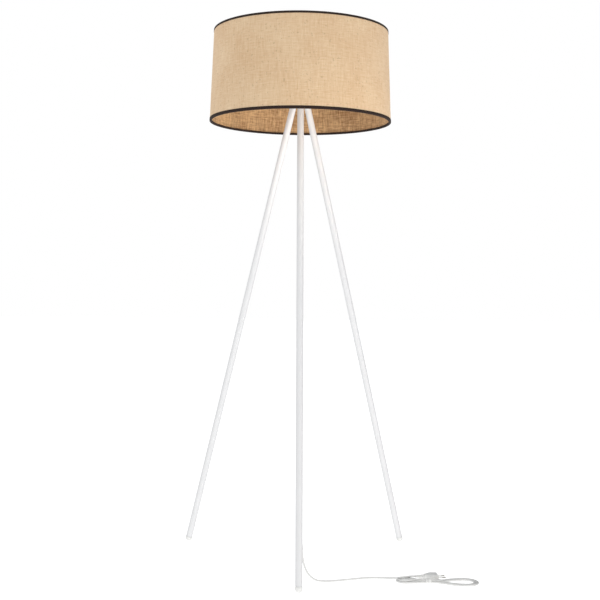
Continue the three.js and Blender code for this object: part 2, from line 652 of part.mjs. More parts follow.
// A rounded bar along X, used where the tie draws the strands together.
function waistBar(half, z0, z1, corner, x0, x1, hole) {
  const section = new THREE.Shape();
  const outline = (path, w, low, high, r) => {
    path.moveTo(-w + r, low);
    path.lineTo(w - r, low);
    path.absarc(w - r, low + r, r, -Math.PI / 2, 0, false);
    path.lineTo(w, high - r);
    path.absarc(w - r, high - r, r, 0, Math.PI / 2, false);
    path.lineTo(-w + r, high);
    path.absarc(-w + r, high - r, r, Math.PI / 2, Math.PI, false);
    path.lineTo(-w, low + r);
    path.absarc(-w + r, low + r, r, Math.PI, Math.PI * 1.5, false);
  };
  outline(section, half, z0, z1, corner);
  if (hole) {
    const inside = new THREE.Path();
    outline(inside, hole.half, hole.z0, hole.z1, hole.corner);
    section.holes.push(inside);
  }
  // The section's own x becomes -Y and its own y becomes +Z.
  return plate(section, x0, x1, 3).rotateX(Math.PI / 2).rotateZ(Math.PI / 2).translate(0, WAIST.y, 0);
}

const tieX0 = WAIST.x - WAIST.tie / 2;
const tieX1 = WAIST.x + WAIST.tie / 2;

function hank() {
  const slot = block(tieX0 - GAP, tieX1 + GAP, WAIST.y - 20, WAIST.y + 20, -1, 20);
  const body = cut(plate(hankOutline(), 0, HANK_HEIGHT, 6), slot);
  return join(body, waistBar(9.6, 1.1, HANK_HEIGHT - 0.4, 2.5, tieX0 - 1, tieX1 + 1));
}

function cordTie() {
  const top = HANK_HEIGHT + 0.7;
  const inside = { half: 9.9, z0: 0.8, z1: top - 0.8, corner: 2.8 };
  const band = waistBar(10.7, 0, top, 3.4, tieX0, tieX1, inside);
  const twistedEnd = moved(lyingAlongX(rod(1.3, -3, 9, 8)), tieX1, WAIST.y - 3, top + 0.9);
  return join(band, twistedEnd);
}

// Two-pin Europlug, moulded on with its sleeve.
function plugBody() {
  const nose = PLUG.neck + PLUG.body;
  const outline = new THREE.Shape();
  outline.moveTo(PLUG.neck, -6.5);
  outline.bezierCurveTo(PLUG.neck + 7, -7, PLUG.neck + 9, -PLUG.half, PLUG.neck + 17, -PLUG.half);
  outline.lineTo(nose - 2, -PLUG.half);
  outline.lineTo(nose, -PLUG.half + 3);
  outline.lineTo(nose, PLUG.half - 3);
  outline.lineTo(nose - 2, PLUG.half);
  outline.lineTo(PLUG.neck + 17, PLUG.half);
  outline.bezierCurveTo(PLUG.neck + 9, PLUG.half, PLUG.neck + 7, 7, PLUG.neck, 6.5);
  outline.closePath();
  const chamfer = 3;
  const body = new THREE.ExtrudeGeometry(outline, {
    depth: 2 * (PLUG.z - chamfer),
    bevelThickness: chamfer,
    bevelSize: chamfer * 0.8,
    bevelOffset: -chamfer * 0.8,
    bevelSegments: 2,
    curveSegments: 5,
  }).translate(0, 0, -PLUG.z + chamfer);
  const neck = lyingAlongX(turned([[0, 0], [3.2, 0], [5.6, PLUG.neck + 4], [0, PLUG.neck + 4]], 14));
  const sockets = [-1, 1].map((side) =>
    moved(lyingAlongX(rod(PLUG.pinR + GAP, nose - 8, nose + 5, 12)), 0, side * PLUG.pitch, 0));
  return moved(cut(join(body, neck), ...sockets), PLUG.x, PLUG.y, PLUG.z);
}

function plugPin(side) {
  const nose = PLUG.neck + PLUG.body;
  const pin = turned([[0, nose - 7.7], [PLUG.pinR, nose - 7.7], [PLUG.pinR, nose + PLUG.pin - 1.5],
    [1, nose + PLUG.pin], [0, nose + PLUG.pin]], 12);
  return moved(lyingAlongX(pin), PLUG.x, PLUG.y + side * PLUG.pitch, PLUG.z);
}

add(lamp, 'cord_free', freeCord(), leadWhite);
add(lamp, 'cord_hank', hank(), leadWhite);
add(lamp, 'cord_tie', cordTie(), whitePlastic);
add(lamp, 'plug_body', plugBody(), whitePlastic);
add(lamp, 'plug_pin_near', plugPin(-1), nickel);
add(lamp, 'plug_pin_far', plugPin(1), nickel);

const floorLamp = new THREE.Group();
floorLamp.add(lamp);

export default floorLamp;
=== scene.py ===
import math

import bpy
from bpy.props import FloatProperty, FloatVectorProperty, IntProperty, PointerProperty
from mathutils import Matrix, Vector, noise


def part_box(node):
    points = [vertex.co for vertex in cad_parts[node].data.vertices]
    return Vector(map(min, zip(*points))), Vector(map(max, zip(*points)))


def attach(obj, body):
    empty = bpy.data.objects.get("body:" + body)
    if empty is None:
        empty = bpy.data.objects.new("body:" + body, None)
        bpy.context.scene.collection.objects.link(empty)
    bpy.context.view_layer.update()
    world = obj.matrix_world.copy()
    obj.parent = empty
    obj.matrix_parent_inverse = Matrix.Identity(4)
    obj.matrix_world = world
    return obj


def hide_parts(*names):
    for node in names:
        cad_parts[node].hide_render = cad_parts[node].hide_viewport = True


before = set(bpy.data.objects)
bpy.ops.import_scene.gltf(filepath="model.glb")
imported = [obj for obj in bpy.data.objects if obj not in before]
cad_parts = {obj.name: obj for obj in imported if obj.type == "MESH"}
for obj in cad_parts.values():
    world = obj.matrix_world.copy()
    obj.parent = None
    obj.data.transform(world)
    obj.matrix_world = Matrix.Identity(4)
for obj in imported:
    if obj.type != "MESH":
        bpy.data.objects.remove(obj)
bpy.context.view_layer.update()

bl_info = {
    "name": "Tripod Floor Lamp",
    "version": (1, 0, 0),
    "blender": (4, 5, 0),
    "location": "View3D > Sidebar > Floor Lamp",
    "description": "Builds a tripod floor lamp with a jute drum shade, and its studio",
    "category": "Add Mesh",
}

MM = 0.001
GAP = 0.3

# The lamp stands on Z = 0. Its own axis is behind the frame's origin, at the hub's centre.
HUB_LOW, HUB_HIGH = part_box("hub_body")
AXIS_Y = (HUB_LOW.y + HUB_HIGH.y) / 2 / MM

# Tripod: the leg's own frame has its origin where its centre line meets the floor.
FOOT_CIRCLE_R = 360.0
APEX_Z = 1330.0
LEAN = math.atan2(FOOT_CIRCLE_R, APEX_Z)
LEG_AZIMUTHS = {"front": -90.0, "right": 30.0, "left": 150.0}
COVER_SCREW_AZIMUTHS = (90.0, 210.0, 330.0)
SPIDER_ARM_AZIMUTHS = (60.0, 180.0, 300.0)
EXIT_HEIGHT = 122.1
EXIT_TURN = 19.0
EXIT_COS = 0.78
EXIT_SIN = math.sqrt(1 - EXIT_COS**2)
RELIEF_LENGTH = 26.0
HUB_Z = HUB_LOW.z / MM
HUB_TOP = HUB_HIGH.z / MM
CAVITY_Z = HUB_Z + 22
COVER_TOP = HUB_TOP + 3.3

# Lead: where it leaves the relief, how it drops and runs, and where its hank lies, in
# millimetres from the lamp's axis.
LEAD_EXIT = (8.24, -310.3, 92.0)
LEAD_DROP = [
    (9.9, -303.9, 76.4), (12.4, -298.6, 61.0), (16.2, -293.3, 46.2), (21.8, -287.2, 32.4),
    (29.5, -280.6, 20.2), (39.6, -274.3, 10.6), (51.5, -269.4, 4.8), (64.5, -266.6, 2.85),
]
LEAD_RUN = [
    (78, -265), (98, -260.5), (117, -254), (135, -247.5), (150, -241.8), (163, -237.2),
    (177, -233.6), (190, -231.8), (204, -231.4), (217, -232.2), (230, -233.3), (243, -233.9),
    (257.6, -234),
]
LOBE = (271.6, -258.0)
EYE = (426.5, -270.5)
WAIST = (332.0, -266.0)
TIE_LEFT, TIE_RIGHT = 324.0, 340.0
PLUG = (303.0, -233.0, 6.85)


# ------------------------------------------------------------------ sizes and colours


def linear(code):
    """The linear value of an sRGB hex colour."""
    channels = [int(code[i : i + 2], 16) / 255 for i in (1, 3, 5)]
    return [c / 12.92 if c <= 0.04045 else ((c + 0.055) / 1.055) ** 2.4 for c in channels]


def length(name, description, default):
    return FloatProperty(
        name=name, description=description, default=default * MM, unit="LENGTH", precision=4
    )


def colour(name, description, code):
    return FloatVectorProperty(
        name=name, description=description, default=linear(code), subtype="COLOR", size=3,
        min=0.0, max=1.0,
    )


class StandSizes(bpy.types.PropertyGroup):
    """Sizes of the legs, the hub and the holder"""

    tube_radius: length("Tube radius", "Outside radius of a leg's steel tube", 9.0)
    tube_bore: length("Tube bore", "Inside radius of a leg's steel tube", 7.8)
    cap_radius: length("Foot cap radius", "Radius of a foot cap's rounded end", 9.3)
    hub_radius: length("Hub radius", "Outside radius of the hub", 34.0)
    segments: IntProperty(
        name="Round segments", description="Sides of a turned piece", default=64, min=24, max=128
    )


class ShadeSizes(bpy.types.PropertyGroup):
    """Sizes of the drum shade"""

    bottom_radius: length("Bottom radius", "Outside radius of the bottom edge tape", 250.0)
    top_radius: length("Top radius", "Outside radius of the top edge tape", 240.0)
    bottom: length("Bottom height", "Height of the shade's bottom edge above the floor", 1200.0)
    height: length("Height", "Height of the shade from edge to edge", 250.0)
    cloth: length("Cloth thickness", "Thickness of the jute cloth", 0.8)
    film: length("Film thickness", "Thickness of the clear backing film", 0.4)
    tape: length("Tape thickness", "Thickness of the folded edge tape", 0.5)
    wire: length("Rim wire radius", "Radius of the wire in both rims and in the arms", 1.5)


class LeadSizes(bpy.types.PropertyGroup):
    """Sizes of the mains lead"""

    diameter: length("Diameter", "Diameter of the round lead", 4.8)
    full: length("Length", "Length of the lead from the relief to the plug", 1755.0)
    pitch: length("Strand spacing", "Distance between strands lying side by side", 4.85)


class Finishes(bpy.types.PropertyGroup):
    """Colours of the lamp's finishes"""

    powder: colour("Powder coat", "White powder coat of the steel", "#EDEDEE")
    plastic: colour("White plastic", "Moulded white plastic", "#F3F3F1")
    sheath: colour("Lead sheath", "White PVC of the mains lead", "#E9E9E7")
    # The weave draws its crowns towards the light colour and its gaps towards the dark one: painted
    # highlight and painted shade. The slubs between them are the jute's own tone.
    jute_light: colour("Jute, light", "Top of a jute thread", "#EBD4B2")
    jute_dark: colour("Jute, dark", "Gap between jute threads", "#C69C70")
    tape: colour("Edge tape", "Woven edge tape of the shade", "#281E1A")
    opal: colour("Opal globe", "Frosted globe of the bulb", "#F6F4EE")


def stand():
    return bpy.context.scene.lamp_stand


def shade():
    return bpy.context.scene.lamp_shade


def lead():
    return bpy.context.scene.lamp_lead


def finishes():
    return bpy.context.scene.lamp_finishes


# ------------------------------------------------------------------ modelling helpers


def only(piece=None):
    """Leaves nothing selected, or one piece selected and active."""
    if bpy.context.object and bpy.context.object.mode != "OBJECT":
        bpy.ops.object.mode_set(mode="OBJECT")
    bpy.ops.object.select_all(action="DESELECT")
    if piece:
        piece.select_set(True)
        bpy.context.view_layer.objects.active = piece


def spun(name, outline, segments=None, axis_ends=False):
    """Turns an outline of (radius, height) points, in millimetres, about the Z axis."""
    points = [(r * MM, z * MM) for r, z in outline]
    if not axis_ends:
        points.append(points[0])
    only()
    bpy.ops.mesh.primitive_plane_add(size=MM, location=(0, 0, 0))
    piece = bpy.context.object
    piece.name = name
    bpy.ops.object.mode_set(mode="EDIT")
    bpy.ops.mesh.select_mode(type="VERT")
    bpy.ops.mesh.select_all(action="SELECT")
    bpy.ops.mesh.merge(type="CENTER")
    bpy.ops.transform.translate(value=(points[0][0], 0, points[0][1]))
    for (r0, z0), (r1, z1) in zip(points, points[1:]):
        bpy.ops.mesh.extrude_region_move(
            TRANSFORM_OT_translate={"value": (r1 - r0, 0, z1 - z0)}
        )
    bpy.ops.mesh.select_all(action="SELECT")
    bpy.ops.mesh.remove_doubles(threshold=1e-5)
    bpy.ops.mesh.spin(
        steps=segments or stand().segments, angle=2 * math.pi, center=(0, 0, 0), axis=(0, 0, 1)
    )
    bpy.ops.mesh.select_all(action="SELECT")
    bpy.ops.mesh.remove_doubles(threshold=1e-5)
    bpy.ops.mesh.normals_make_consistent(inside=False)
    bpy.ops.object.mode_set(mode="OBJECT")
    return piece


def rod(name, radius, low, high, segments=32, chamfer=0.0):
    c = chamfer
    outline = [(0, low), (radius - c, low), (radius, low + c), (radius, high - c),
               (radius - c, high), (0, high)]
    if not c:
        outline = [(0, low), (radius, low), (radius, high), (0, high)]
    return spun(name, outline, segments, axis_ends=True)


def arc(centre_r, centre_z, radius, start, end, steps):
    """Points of an outline's arc, in degrees from straight out."""
    angles = [math.radians(start + (end - start) * i / steps) for i in range(steps + 1)]
    return [
        (max(0.0, centre_r + radius * math.cos(a)), centre_z + radius * math.sin(a))
        for a in angles
    ]


def put(piece, matrix):
    """Moves a piece by a matrix and leaves its object at the origin."""
    only(piece)
    piece.matrix_world = matrix
    bpy.ops.object.transform_apply(location=True, rotation=True, scale=True)
    return piece


def twin(piece, name):
    copy = piece.copy()
    copy.data = piece.data.copy()
    copy.name = name
    bpy.context.collection.objects.link(copy)
    return copy


def joined(first, *others):
    only(first)
    for other in others:
        other.select_set(True)
    bpy.ops.object.join()
    return first


def finished_by(piece, kind, **settings):
    """Adds one modifier with its settings and applies it."""
    only(piece)
    modifier = piece.modifiers.new(kind.title(), kind)
    for key, value in settings.items():
        setattr(modifier, key, value)
    bpy.ops.object.modifier_apply(modifier=modifier.name)
    return piece


def combined(piece, tool, operation="DIFFERENCE"):
    """Cuts, joins or intersects a piece with a tool, which is used up."""
    finished_by(piece, "BOOLEAN", operation=operation, solver="EXACT", object=tool)
    bpy.data.objects.remove(tool)
    return piece


def mended(piece):
    """Closes the hairline gaps that crossing cuts can leave."""
    only(piece)
    bpy.ops.object.mode_set(mode="EDIT")
    bpy.ops.mesh.select_mode(type="VERT")
    bpy.ops.mesh.select_all(action="SELECT")
    bpy.ops.mesh.remove_doubles(threshold=2e-5)
    bpy.ops.mesh.dissolve_degenerate(threshold=1e-5)
    bpy.ops.mesh.select_all(action="SELECT")
    bpy.ops.mesh.fill_holes(sides=8)
    bpy.ops.mesh.normals_make_consistent(inside=False)
    bpy.ops.object.mode_set(mode="OBJECT")
    return piece


def bevelled(piece, width, segments=2, degrees=40):
    return finished_by(
        piece, "BEVEL", width=width * MM, segments=segments, limit_method="ANGLE",
        angle_limit=math.radians(degrees),
    )


def threaded(piece, low, high, pitch, depth, least_radius, centre=(0.0, 0.0)):
    """Cuts a helical thread into the outside of a turned wall, fading out at both ends."""
    for vertex in piece.data.vertices:
        x, y, z = vertex.co / MM
        x, y = x - centre[0], y - centre[1]
        radius = math.hypot(x, y)
        if radius < least_radius or not low < z < high:
            continue
        phase = z / pitch - math.atan2(y, x) / (2 * math.pi)
        groove = 0.5 + 0.5 * math.cos(2 * math.pi * phase)
        fade = min(1.0, (z - low) / pitch, (high - z) / pitch)
        scale = (radius - depth * groove * fade) / radius
        vertex.co.x, vertex.co.y = (x * scale + centre[0]) * MM, (y * scale + centre[1]) * MM
    return piece


def done(piece, material, body, slot, *nodes, degrees=35):
    """Gives a piece its shading, its finish and its CAD body, and hides the CAD nodes it stands
    for.
    """
    only(piece)
    if piece.type == "MESH":
        bpy.ops.object.shade_smooth_by_angle(angle=math.radians(degrees))
    piece.data.materials.clear()
    piece.data.materials.append(material)
    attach(piece, body)
    if nodes:
        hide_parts(*nodes)
    return piece


def steps(low, high, step):
    count = max(1, round((high - low) / step))
    return [low + (high - low) * i / count for i in range(count + 1)]


def turn(degrees, axis="Z"):
    return Matrix.Rotation(math.radians(degrees), 4, axis)


def shift(x=0.0, y=0.0, z=0.0):
    return Matrix.Translation((x * MM, y * MM, z * MM))


ON_AXIS = shift(y=AXIS_Y)


def on_leg(side):
    """The leg's own frame: +Z up the tube, +X outwards."""
    lean = Matrix.Rotation(-LEAN, 4, "Y")
    return ON_AXIS @ turn(LEG_AZIMUTHS[side]) @ shift(x=FOOT_CIRCLE_R) @ lean


def along_leg(height):
    return height / math.cos(LEAN)


def exit_line():
    """The lead's line out of the front leg: +Z outwards, from the tube's surface."""
    way = Matrix.Rotation(math.pi - math.asin(EXIT_SIN), 4, "Y")
    surface = shift(x=stand().tube_radius / MM, z=EXIT_HEIGHT)
    return on_leg("front") @ turn(180 - EXIT_TURN) @ surface @ way


# ------------------------------------------------------------------ finishes


def add_node(tree, kind, inputs=None, **settings):
    """Adds a node with its settings, and sets or links its inputs."""
    node = tree.nodes.new(kind)
    for key, value in settings.items():
        setattr(node, key, value)
    for key, value in (inputs or {}).items():
        if isinstance(value, bpy.types.NodeSocket):
            tree.links.new(value, node.inputs[key])
        else:
            node.inputs[key].default_value = value
    return node


def new_material(name, base, roughness, metallic=0.0, **sockets):
    """A material with its main shader, ready for patterns."""
    material = bpy.data.materials.new(name)
    material.use_nodes = True
    tree = material.node_tree
    shader = tree.nodes["Principled BSDF"]
    shader.inputs["Base Color"].default_value = (*base, 1.0)
    shader.inputs["Roughness"].default_value = roughness
    shader.inputs["Metallic"].default_value = metallic
    for key, value in sockets.items():
        shader.inputs[key.replace("_", " ")].default_value = value
    return material, tree, shader


def object_noise(tree, grain_mm, detail=2.0, stretch=(1, 1, 1)):
    """Noise with grains of a real size in millimetres."""
    place = add_node(tree, "ShaderNodeTexCoord").outputs["Object"]
    scale = [1 / (grain_mm * MM) / s for s in stretch]
    mapped = add_node(tree, "ShaderNodeMapping", {"Vector": place, "Scale": scale})
    return add_node(
        tree, "ShaderNodeTexNoise", {"Vector": mapped.outputs[0], "Scale": 1.0, "Detail": detail}
    ).outputs[0]


def vary(tree, value, low, high):
    """Spreads a pattern's middle values over a new range."""
    return add_node(
        tree, "ShaderNodeMapRange",
        {"Value": value, "From Min": 0.3, "From Max": 0.7, "To Min": low, "To Max": high},
    ).outputs[0]


def tint(tree, value, dark, light):
    return add_node(
        tree, "ShaderNodeMix", {"Factor": value, "A": (*dark, 1), "B": (*light, 1)},
        data_type="RGBA",
    ).outputs["Result"]


def emboss(tree, shader, height, depth_mm, strength=1.0):
    bump = add_node(
        tree, "ShaderNodeBump", {"Height": height, "Distance": depth_mm * MM, "Strength": strength}
    )
    tree.links.new(bump.outputs[0], shader.inputs["Normal"])


def shaded(base, factor):
    return [c * factor for c in base]


def painted_edge_shade(tree, mixed, base, edge_shade_share):
    """Paints shade onto a white finish towards its edges, so that it stands out in a white room.
    This painted edge shade is an aid to the render, and isn't a property of the finish."""
    away = add_node(tree, "ShaderNodeLayerWeight", {"Blend": 0.4}).outputs["Facing"]
    return add_node(
        tree, "ShaderNodeMix", {"Factor": away, "A": mixed, "B": (*shaded(base, edge_shade_share), 1)},
        data_type="RGBA",
    ).outputs["Result"]


def powder_coat():
    """Polyester powder coat baked on steel: a soft gloss with a fine orange peel."""
    base = finishes().powder
    material, tree, shader = new_material("Powder Coat on Steel", base, 0.42)
    peel = object_noise(tree, 1.6, 1.0)
    cloud = object_noise(tree, 60.0, 2.0)
    mixed = tint(tree, vary(tree, cloud, 0, 1), shaded(base, 0.975), base)
    # Painted shade darkens the coat towards its edges.
    tree.links.new(painted_edge_shade(tree, mixed, base, 0.62), shader.inputs["Base Color"])
    tree.links.new(vary(tree, peel, 0.38, 0.46), shader.inputs["Roughness"])
    emboss(tree, shader, peel, 0.05, 0.35)
    return material


def moulded_plastic(name, base, roughness):
    """Injection-moulded plastic: even colour with the faint grain of a spark-eroded mould."""
    material, tree, shader = new_material(name, base, roughness)
    grain = object_noise(tree, 0.45, 1.0)
    cloud = object_noise(tree, 15.0, 2.0)
    mixed = tint(tree, vary(tree, cloud, 0, 1), shaded(base, 0.97), base)
    # Painted shade darkens the plastic towards its edges.
    tree.links.new(painted_edge_shade(tree, mixed, base, 0.6), shader.inputs["Base Color"])
    tree.links.new(
        vary(tree, grain, roughness - 0.05, roughness + 0.05), shader.inputs["Roughness"]
    )
    emboss(tree, shader, grain, 0.02, 0.3)
    return material


def pvc_sheath():
    """Extruded PVC: slightly waxy, with faint draw marks and handling smudges."""
    base = finishes().sheath
    material, tree, shader = new_material("Extruded PVC Sheath", base, 0.42)
    smudge = object_noise(tree, 22.0, 3.0)
    marks = object_noise(tree, 0.8, 1.0)
    mixed = tint(tree, vary(tree, smudge, 0, 1), shaded(base, 0.93), base)
    # Painted shade darkens the sheath towards its edges; the smudges are its own marks.
    tree.links.new(painted_edge_shade(tree, mixed, base, 0.6), shader.inputs["Base Color"])
    tree.links.new(vary(tree, marks, 0.36, 0.48), shader.inputs["Roughness"])
    emboss(tree, shader, marks, 0.03, 0.3)
    return material


def turned_metal(name, base, roughness):
    """Turned and plated metal: rings from the tool and a slight patina."""
    material, tree, shader = new_material(name, base, roughness, 1.0)
    rings = object_noise(tree, 0.35, 2.0, (40, 40, 1))
    patina = object_noise(tree, 6.0, 3.0)
    mixed = tint(tree, vary(tree, patina, 0, 1), shaded(base, 0.86), base)
    tree.links.new(mixed, shader.inputs["Base Color"])
    tree.links.new(
        vary(tree, rings, roughness - 0.06, roughness + 0.08), shader.inputs["Roughness"]
    )
    emboss(tree, shader, rings, 0.02, 0.4)
    return material


def weave_height(tree, across, up, pitch_mm):
    """Plain weave from the cloth's own width and height: warp and weft pass over in turn."""
    waves = []
    for direction in (across, up):
        angle = add_node(
            tree, "ShaderNodeMath", {0: direction, 1: math.pi / (pitch_mm * MM)},
            operation="MULTIPLY",
        )
        waves.append(
            add_node(tree, "ShaderNodeMath", {0: angle.outputs[0]}, operation="SINE").outputs[0]
        )
    crossing = add_node(tree, "ShaderNodeMath", {0: waves[0], 1: waves[1]}, operation="MULTIPLY")
    over = add_node(
        tree, "ShaderNodeMapRange",
        {"Value": crossing.outputs[0], "From Min": -0.35, "From Max": 0.35},
    ).outputs[0]
    ridges = [
        add_node(tree, "ShaderNodeMath", {0: wave}, operation="ABSOLUTE").outputs[0]
        for wave in waves
    ]
    height = add_node(
        tree, "ShaderNodeMix", {"Factor": over, "A": ridges[1], "B": ridges[0]}, data_type="FLOAT"
    ).outputs["Result"]
    return height


def slubs(tree, cloth, across_mm, up_mm):
    """Thick and thin places drawn out along the threads of one direction."""
    mapped = add_node(
        tree, "ShaderNodeMapping",
        {"Vector": cloth, "Scale": (1 / (across_mm * MM), 1 / (up_mm * MM), 1)},
    )
    return add_node(
        tree, "ShaderNodeTexNoise",
        {"Vector": mapped.outputs[0], "Scale": 1.0, "Detail": 2.0, "Roughness": 0.6},
    ).outputs[0]


def jute_cloth(name, light, dark, roughness, contrast, coat):
    """Natural jute in plain weave: uneven threads with slubs both ways. Its real pitch isn't
    known: about 1.6 mm is assumed and drawn as 2.1 mm, with slubs up to 5 mm wide, so that
    they show."""
    material, tree, shader = new_material(name, light, roughness, Coat_Weight=coat)
    cloth = add_node(tree, "ShaderNodeUVMap", uv_map="Cloth").outputs[0]
    parts = add_node(tree, "ShaderNodeSeparateXYZ", {0: cloth}).outputs
    height = weave_height(tree, parts[0], parts[1], 2.1)
    warp = [slubs(tree, cloth, 2.1, 26.0), slubs(tree, cloth, 5.0, 70.0)]
    weft = [slubs(tree, cloth, 24.0, 2.1), slubs(tree, cloth, 60.0, 5.0)]
    cloud = object_noise(tree, 90.0, 2.0)
    weights = ((warp[0], 1.2), (weft[0], 1.2), (warp[1], 0.7), (weft[1], 0.6), (cloud, 0.7))
    # The weave's height starts the tone: painted shade in the gaps between threads and a painted
    # highlight on the crowns. The slubs and the cloud added to it are the jute's own uneven tone.
    tone = add_node(
        tree, "ShaderNodeMath", {0: height, 1: 0.35}, operation="MULTIPLY"
    ).outputs[0]
    for pattern, weight in weights:
        centred = add_node(
            tree, "ShaderNodeMath", {0: pattern, 1: 0.5}, operation="SUBTRACT"
        ).outputs[0]
        tone = add_node(
            tree, "ShaderNodeMath", {0: centred, 1: weight * contrast, 2: tone},
            operation="MULTIPLY_ADD",
        ).outputs[0]
    tone = add_node(
        tree, "ShaderNodeMapRange",
        {"Value": tone, "From Min": -0.35, "From Max": 0.75},
    ).outputs[0]
    mixed = tint(tree, tone, dark, light)
    # Specks of bark left in the fibre.
    speck = add_node(
        tree, "ShaderNodeMapRange",
        {"Value": object_noise(tree, 5.0, 0.0), "From Min": 0.71, "From Max": 0.80,
         "To Max": 0.3},
    ).outputs[0]
    specked = add_node(
        tree, "ShaderNodeMix", {"Factor": speck, "A": mixed, "B": (*shaded(dark, 0.5), 1)},
        data_type="RGBA",
    ).outputs["Result"]
    tree.links.new(specked, shader.inputs["Base Color"])
    emboss(tree, shader, height, 0.35, 0.5)
    shader.inputs["Sheen Weight"].default_value = 0.08
    return material


def edge_tape_cloth():
    """Dark cotton tape in a close weave. A pitch of about 0.9 mm is assumed and drawn as
    1.6 mm."""
    base = finishes().tape
    material, tree, shader = new_material("Ribbed Cotton Tape", base, 0.9, Specular_IOR_Level=0.2)
    cloth = add_node(tree, "ShaderNodeUVMap", uv_map="Cloth").outputs[0]
    parts = add_node(tree, "ShaderNodeSeparateXYZ", {0: cloth}).outputs
    height = weave_height(tree, parts[0], parts[1], 1.6)
    # The thread crowns are drawn lighter where a noise is high: partly uneven wear and partly a
    # painted highlight on the weave.
    wear_and_highlight = slubs(tree, cloth, 14.0, 2.0)
    tone = add_node(
        tree, "ShaderNodeMath", {0: wear_and_highlight, 1: height}, operation="MULTIPLY"
    ).outputs[0]
    lighter = [min(1.0, c * 1.8 + 0.004) for c in base]
    tree.links.new(tint(tree, tone, base, lighter), shader.inputs["Base Color"])
    emboss(tree, shader, height, 0.2, 0.6)
    return material


def opal_globe():
    """Opal polycarbonate: a matt white skin over a milky wall."""
    base = finishes().opal
    material, tree, shader = new_material("Opal Polycarbonate", base, 0.5)
    haze = object_noise(tree, 9.0, 2.0)
    tree.links.new(
        tint(tree, vary(tree, haze, 0, 1), shaded(base, 0.96), base), shader.inputs["Base Color"]
    )
    frost = object_noise(tree, 0.3, 1.0)
    emboss(tree, shader, frost, 0.02, 0.3)
    return material


def solder_mask():
    """Circuit board: green lacquer over copper tracks that show as a faint pattern."""
    base = linear("#2C6244")
    material, tree, shader = new_material("Solder Mask on Board", base, 0.35)
    tracks = object_noise(tree, 2.5, 0.0, (6, 1, 1))
    tree.links.new(
        tint(tree, vary(tree, tracks, 0, 1), base, linear("#3F7F58")), shader.inputs["Base Color"]
    )
    emboss(tree, shader, tracks, 0.05, 0.4)
    return material


LIBRARY = {}


def finish(name):
    """Makes a finish the first time it is asked for."""
    makers = {
        "powder": powder_coat,
        "plastic": lambda: moulded_plastic("Moulded White ABS", finishes().plastic, 0.36),
        "thermoset": lambda: moulded_plastic("Moulded White Polyester", finishes().plastic, 0.3),
        "insulator": lambda: moulded_plastic("Black Cap Insulator", linear("#141312"), 0.25),
        "brown": lambda: moulded_plastic("Brown Core Insulation", linear("#6B4423"), 0.45),
        "blue": lambda: moulded_plastic("Blue Core Insulation", linear("#2F5FA8"), 0.45),
        "sheath": pvc_sheath,
        "zinc": lambda: turned_metal("Bright Zinc Plate", linear("#C3C6CA"), 0.32),
        "brass": lambda: turned_metal("Pressed Brass", linear("#D6B26A"), 0.28),
        "nickel": lambda: turned_metal("Bright Nickel Plate", linear("#D2D0CA"), 0.2),
        "jute": lambda: jute_cloth(
            "Jute Plain Weave", finishes().jute_light, finishes().jute_dark, 0.9, 0.6, 0.0),
        # The jute seen through its clear film. The film's gloss is its own, but the colours are
        # drawn darker, more orange and with more contrast than outside: painted shade inside the
        # drum and painted light shining through the cloth.
        "lining_with_painted_shade": lambda: jute_cloth(
            "Jute Behind Clear Film With Painted Shade", linear("#DDB583"), linear("#8A6038"), 0.6, 1.5, 0.15),
        "tape": edge_tape_cloth,
        "opal": opal_globe,
        "board": solder_mask,
    }
    if name not in LIBRARY:
        LIBRARY[name] = makers[name]()
    return LIBRARY[name]


# ------------------------------------------------------------------ stage


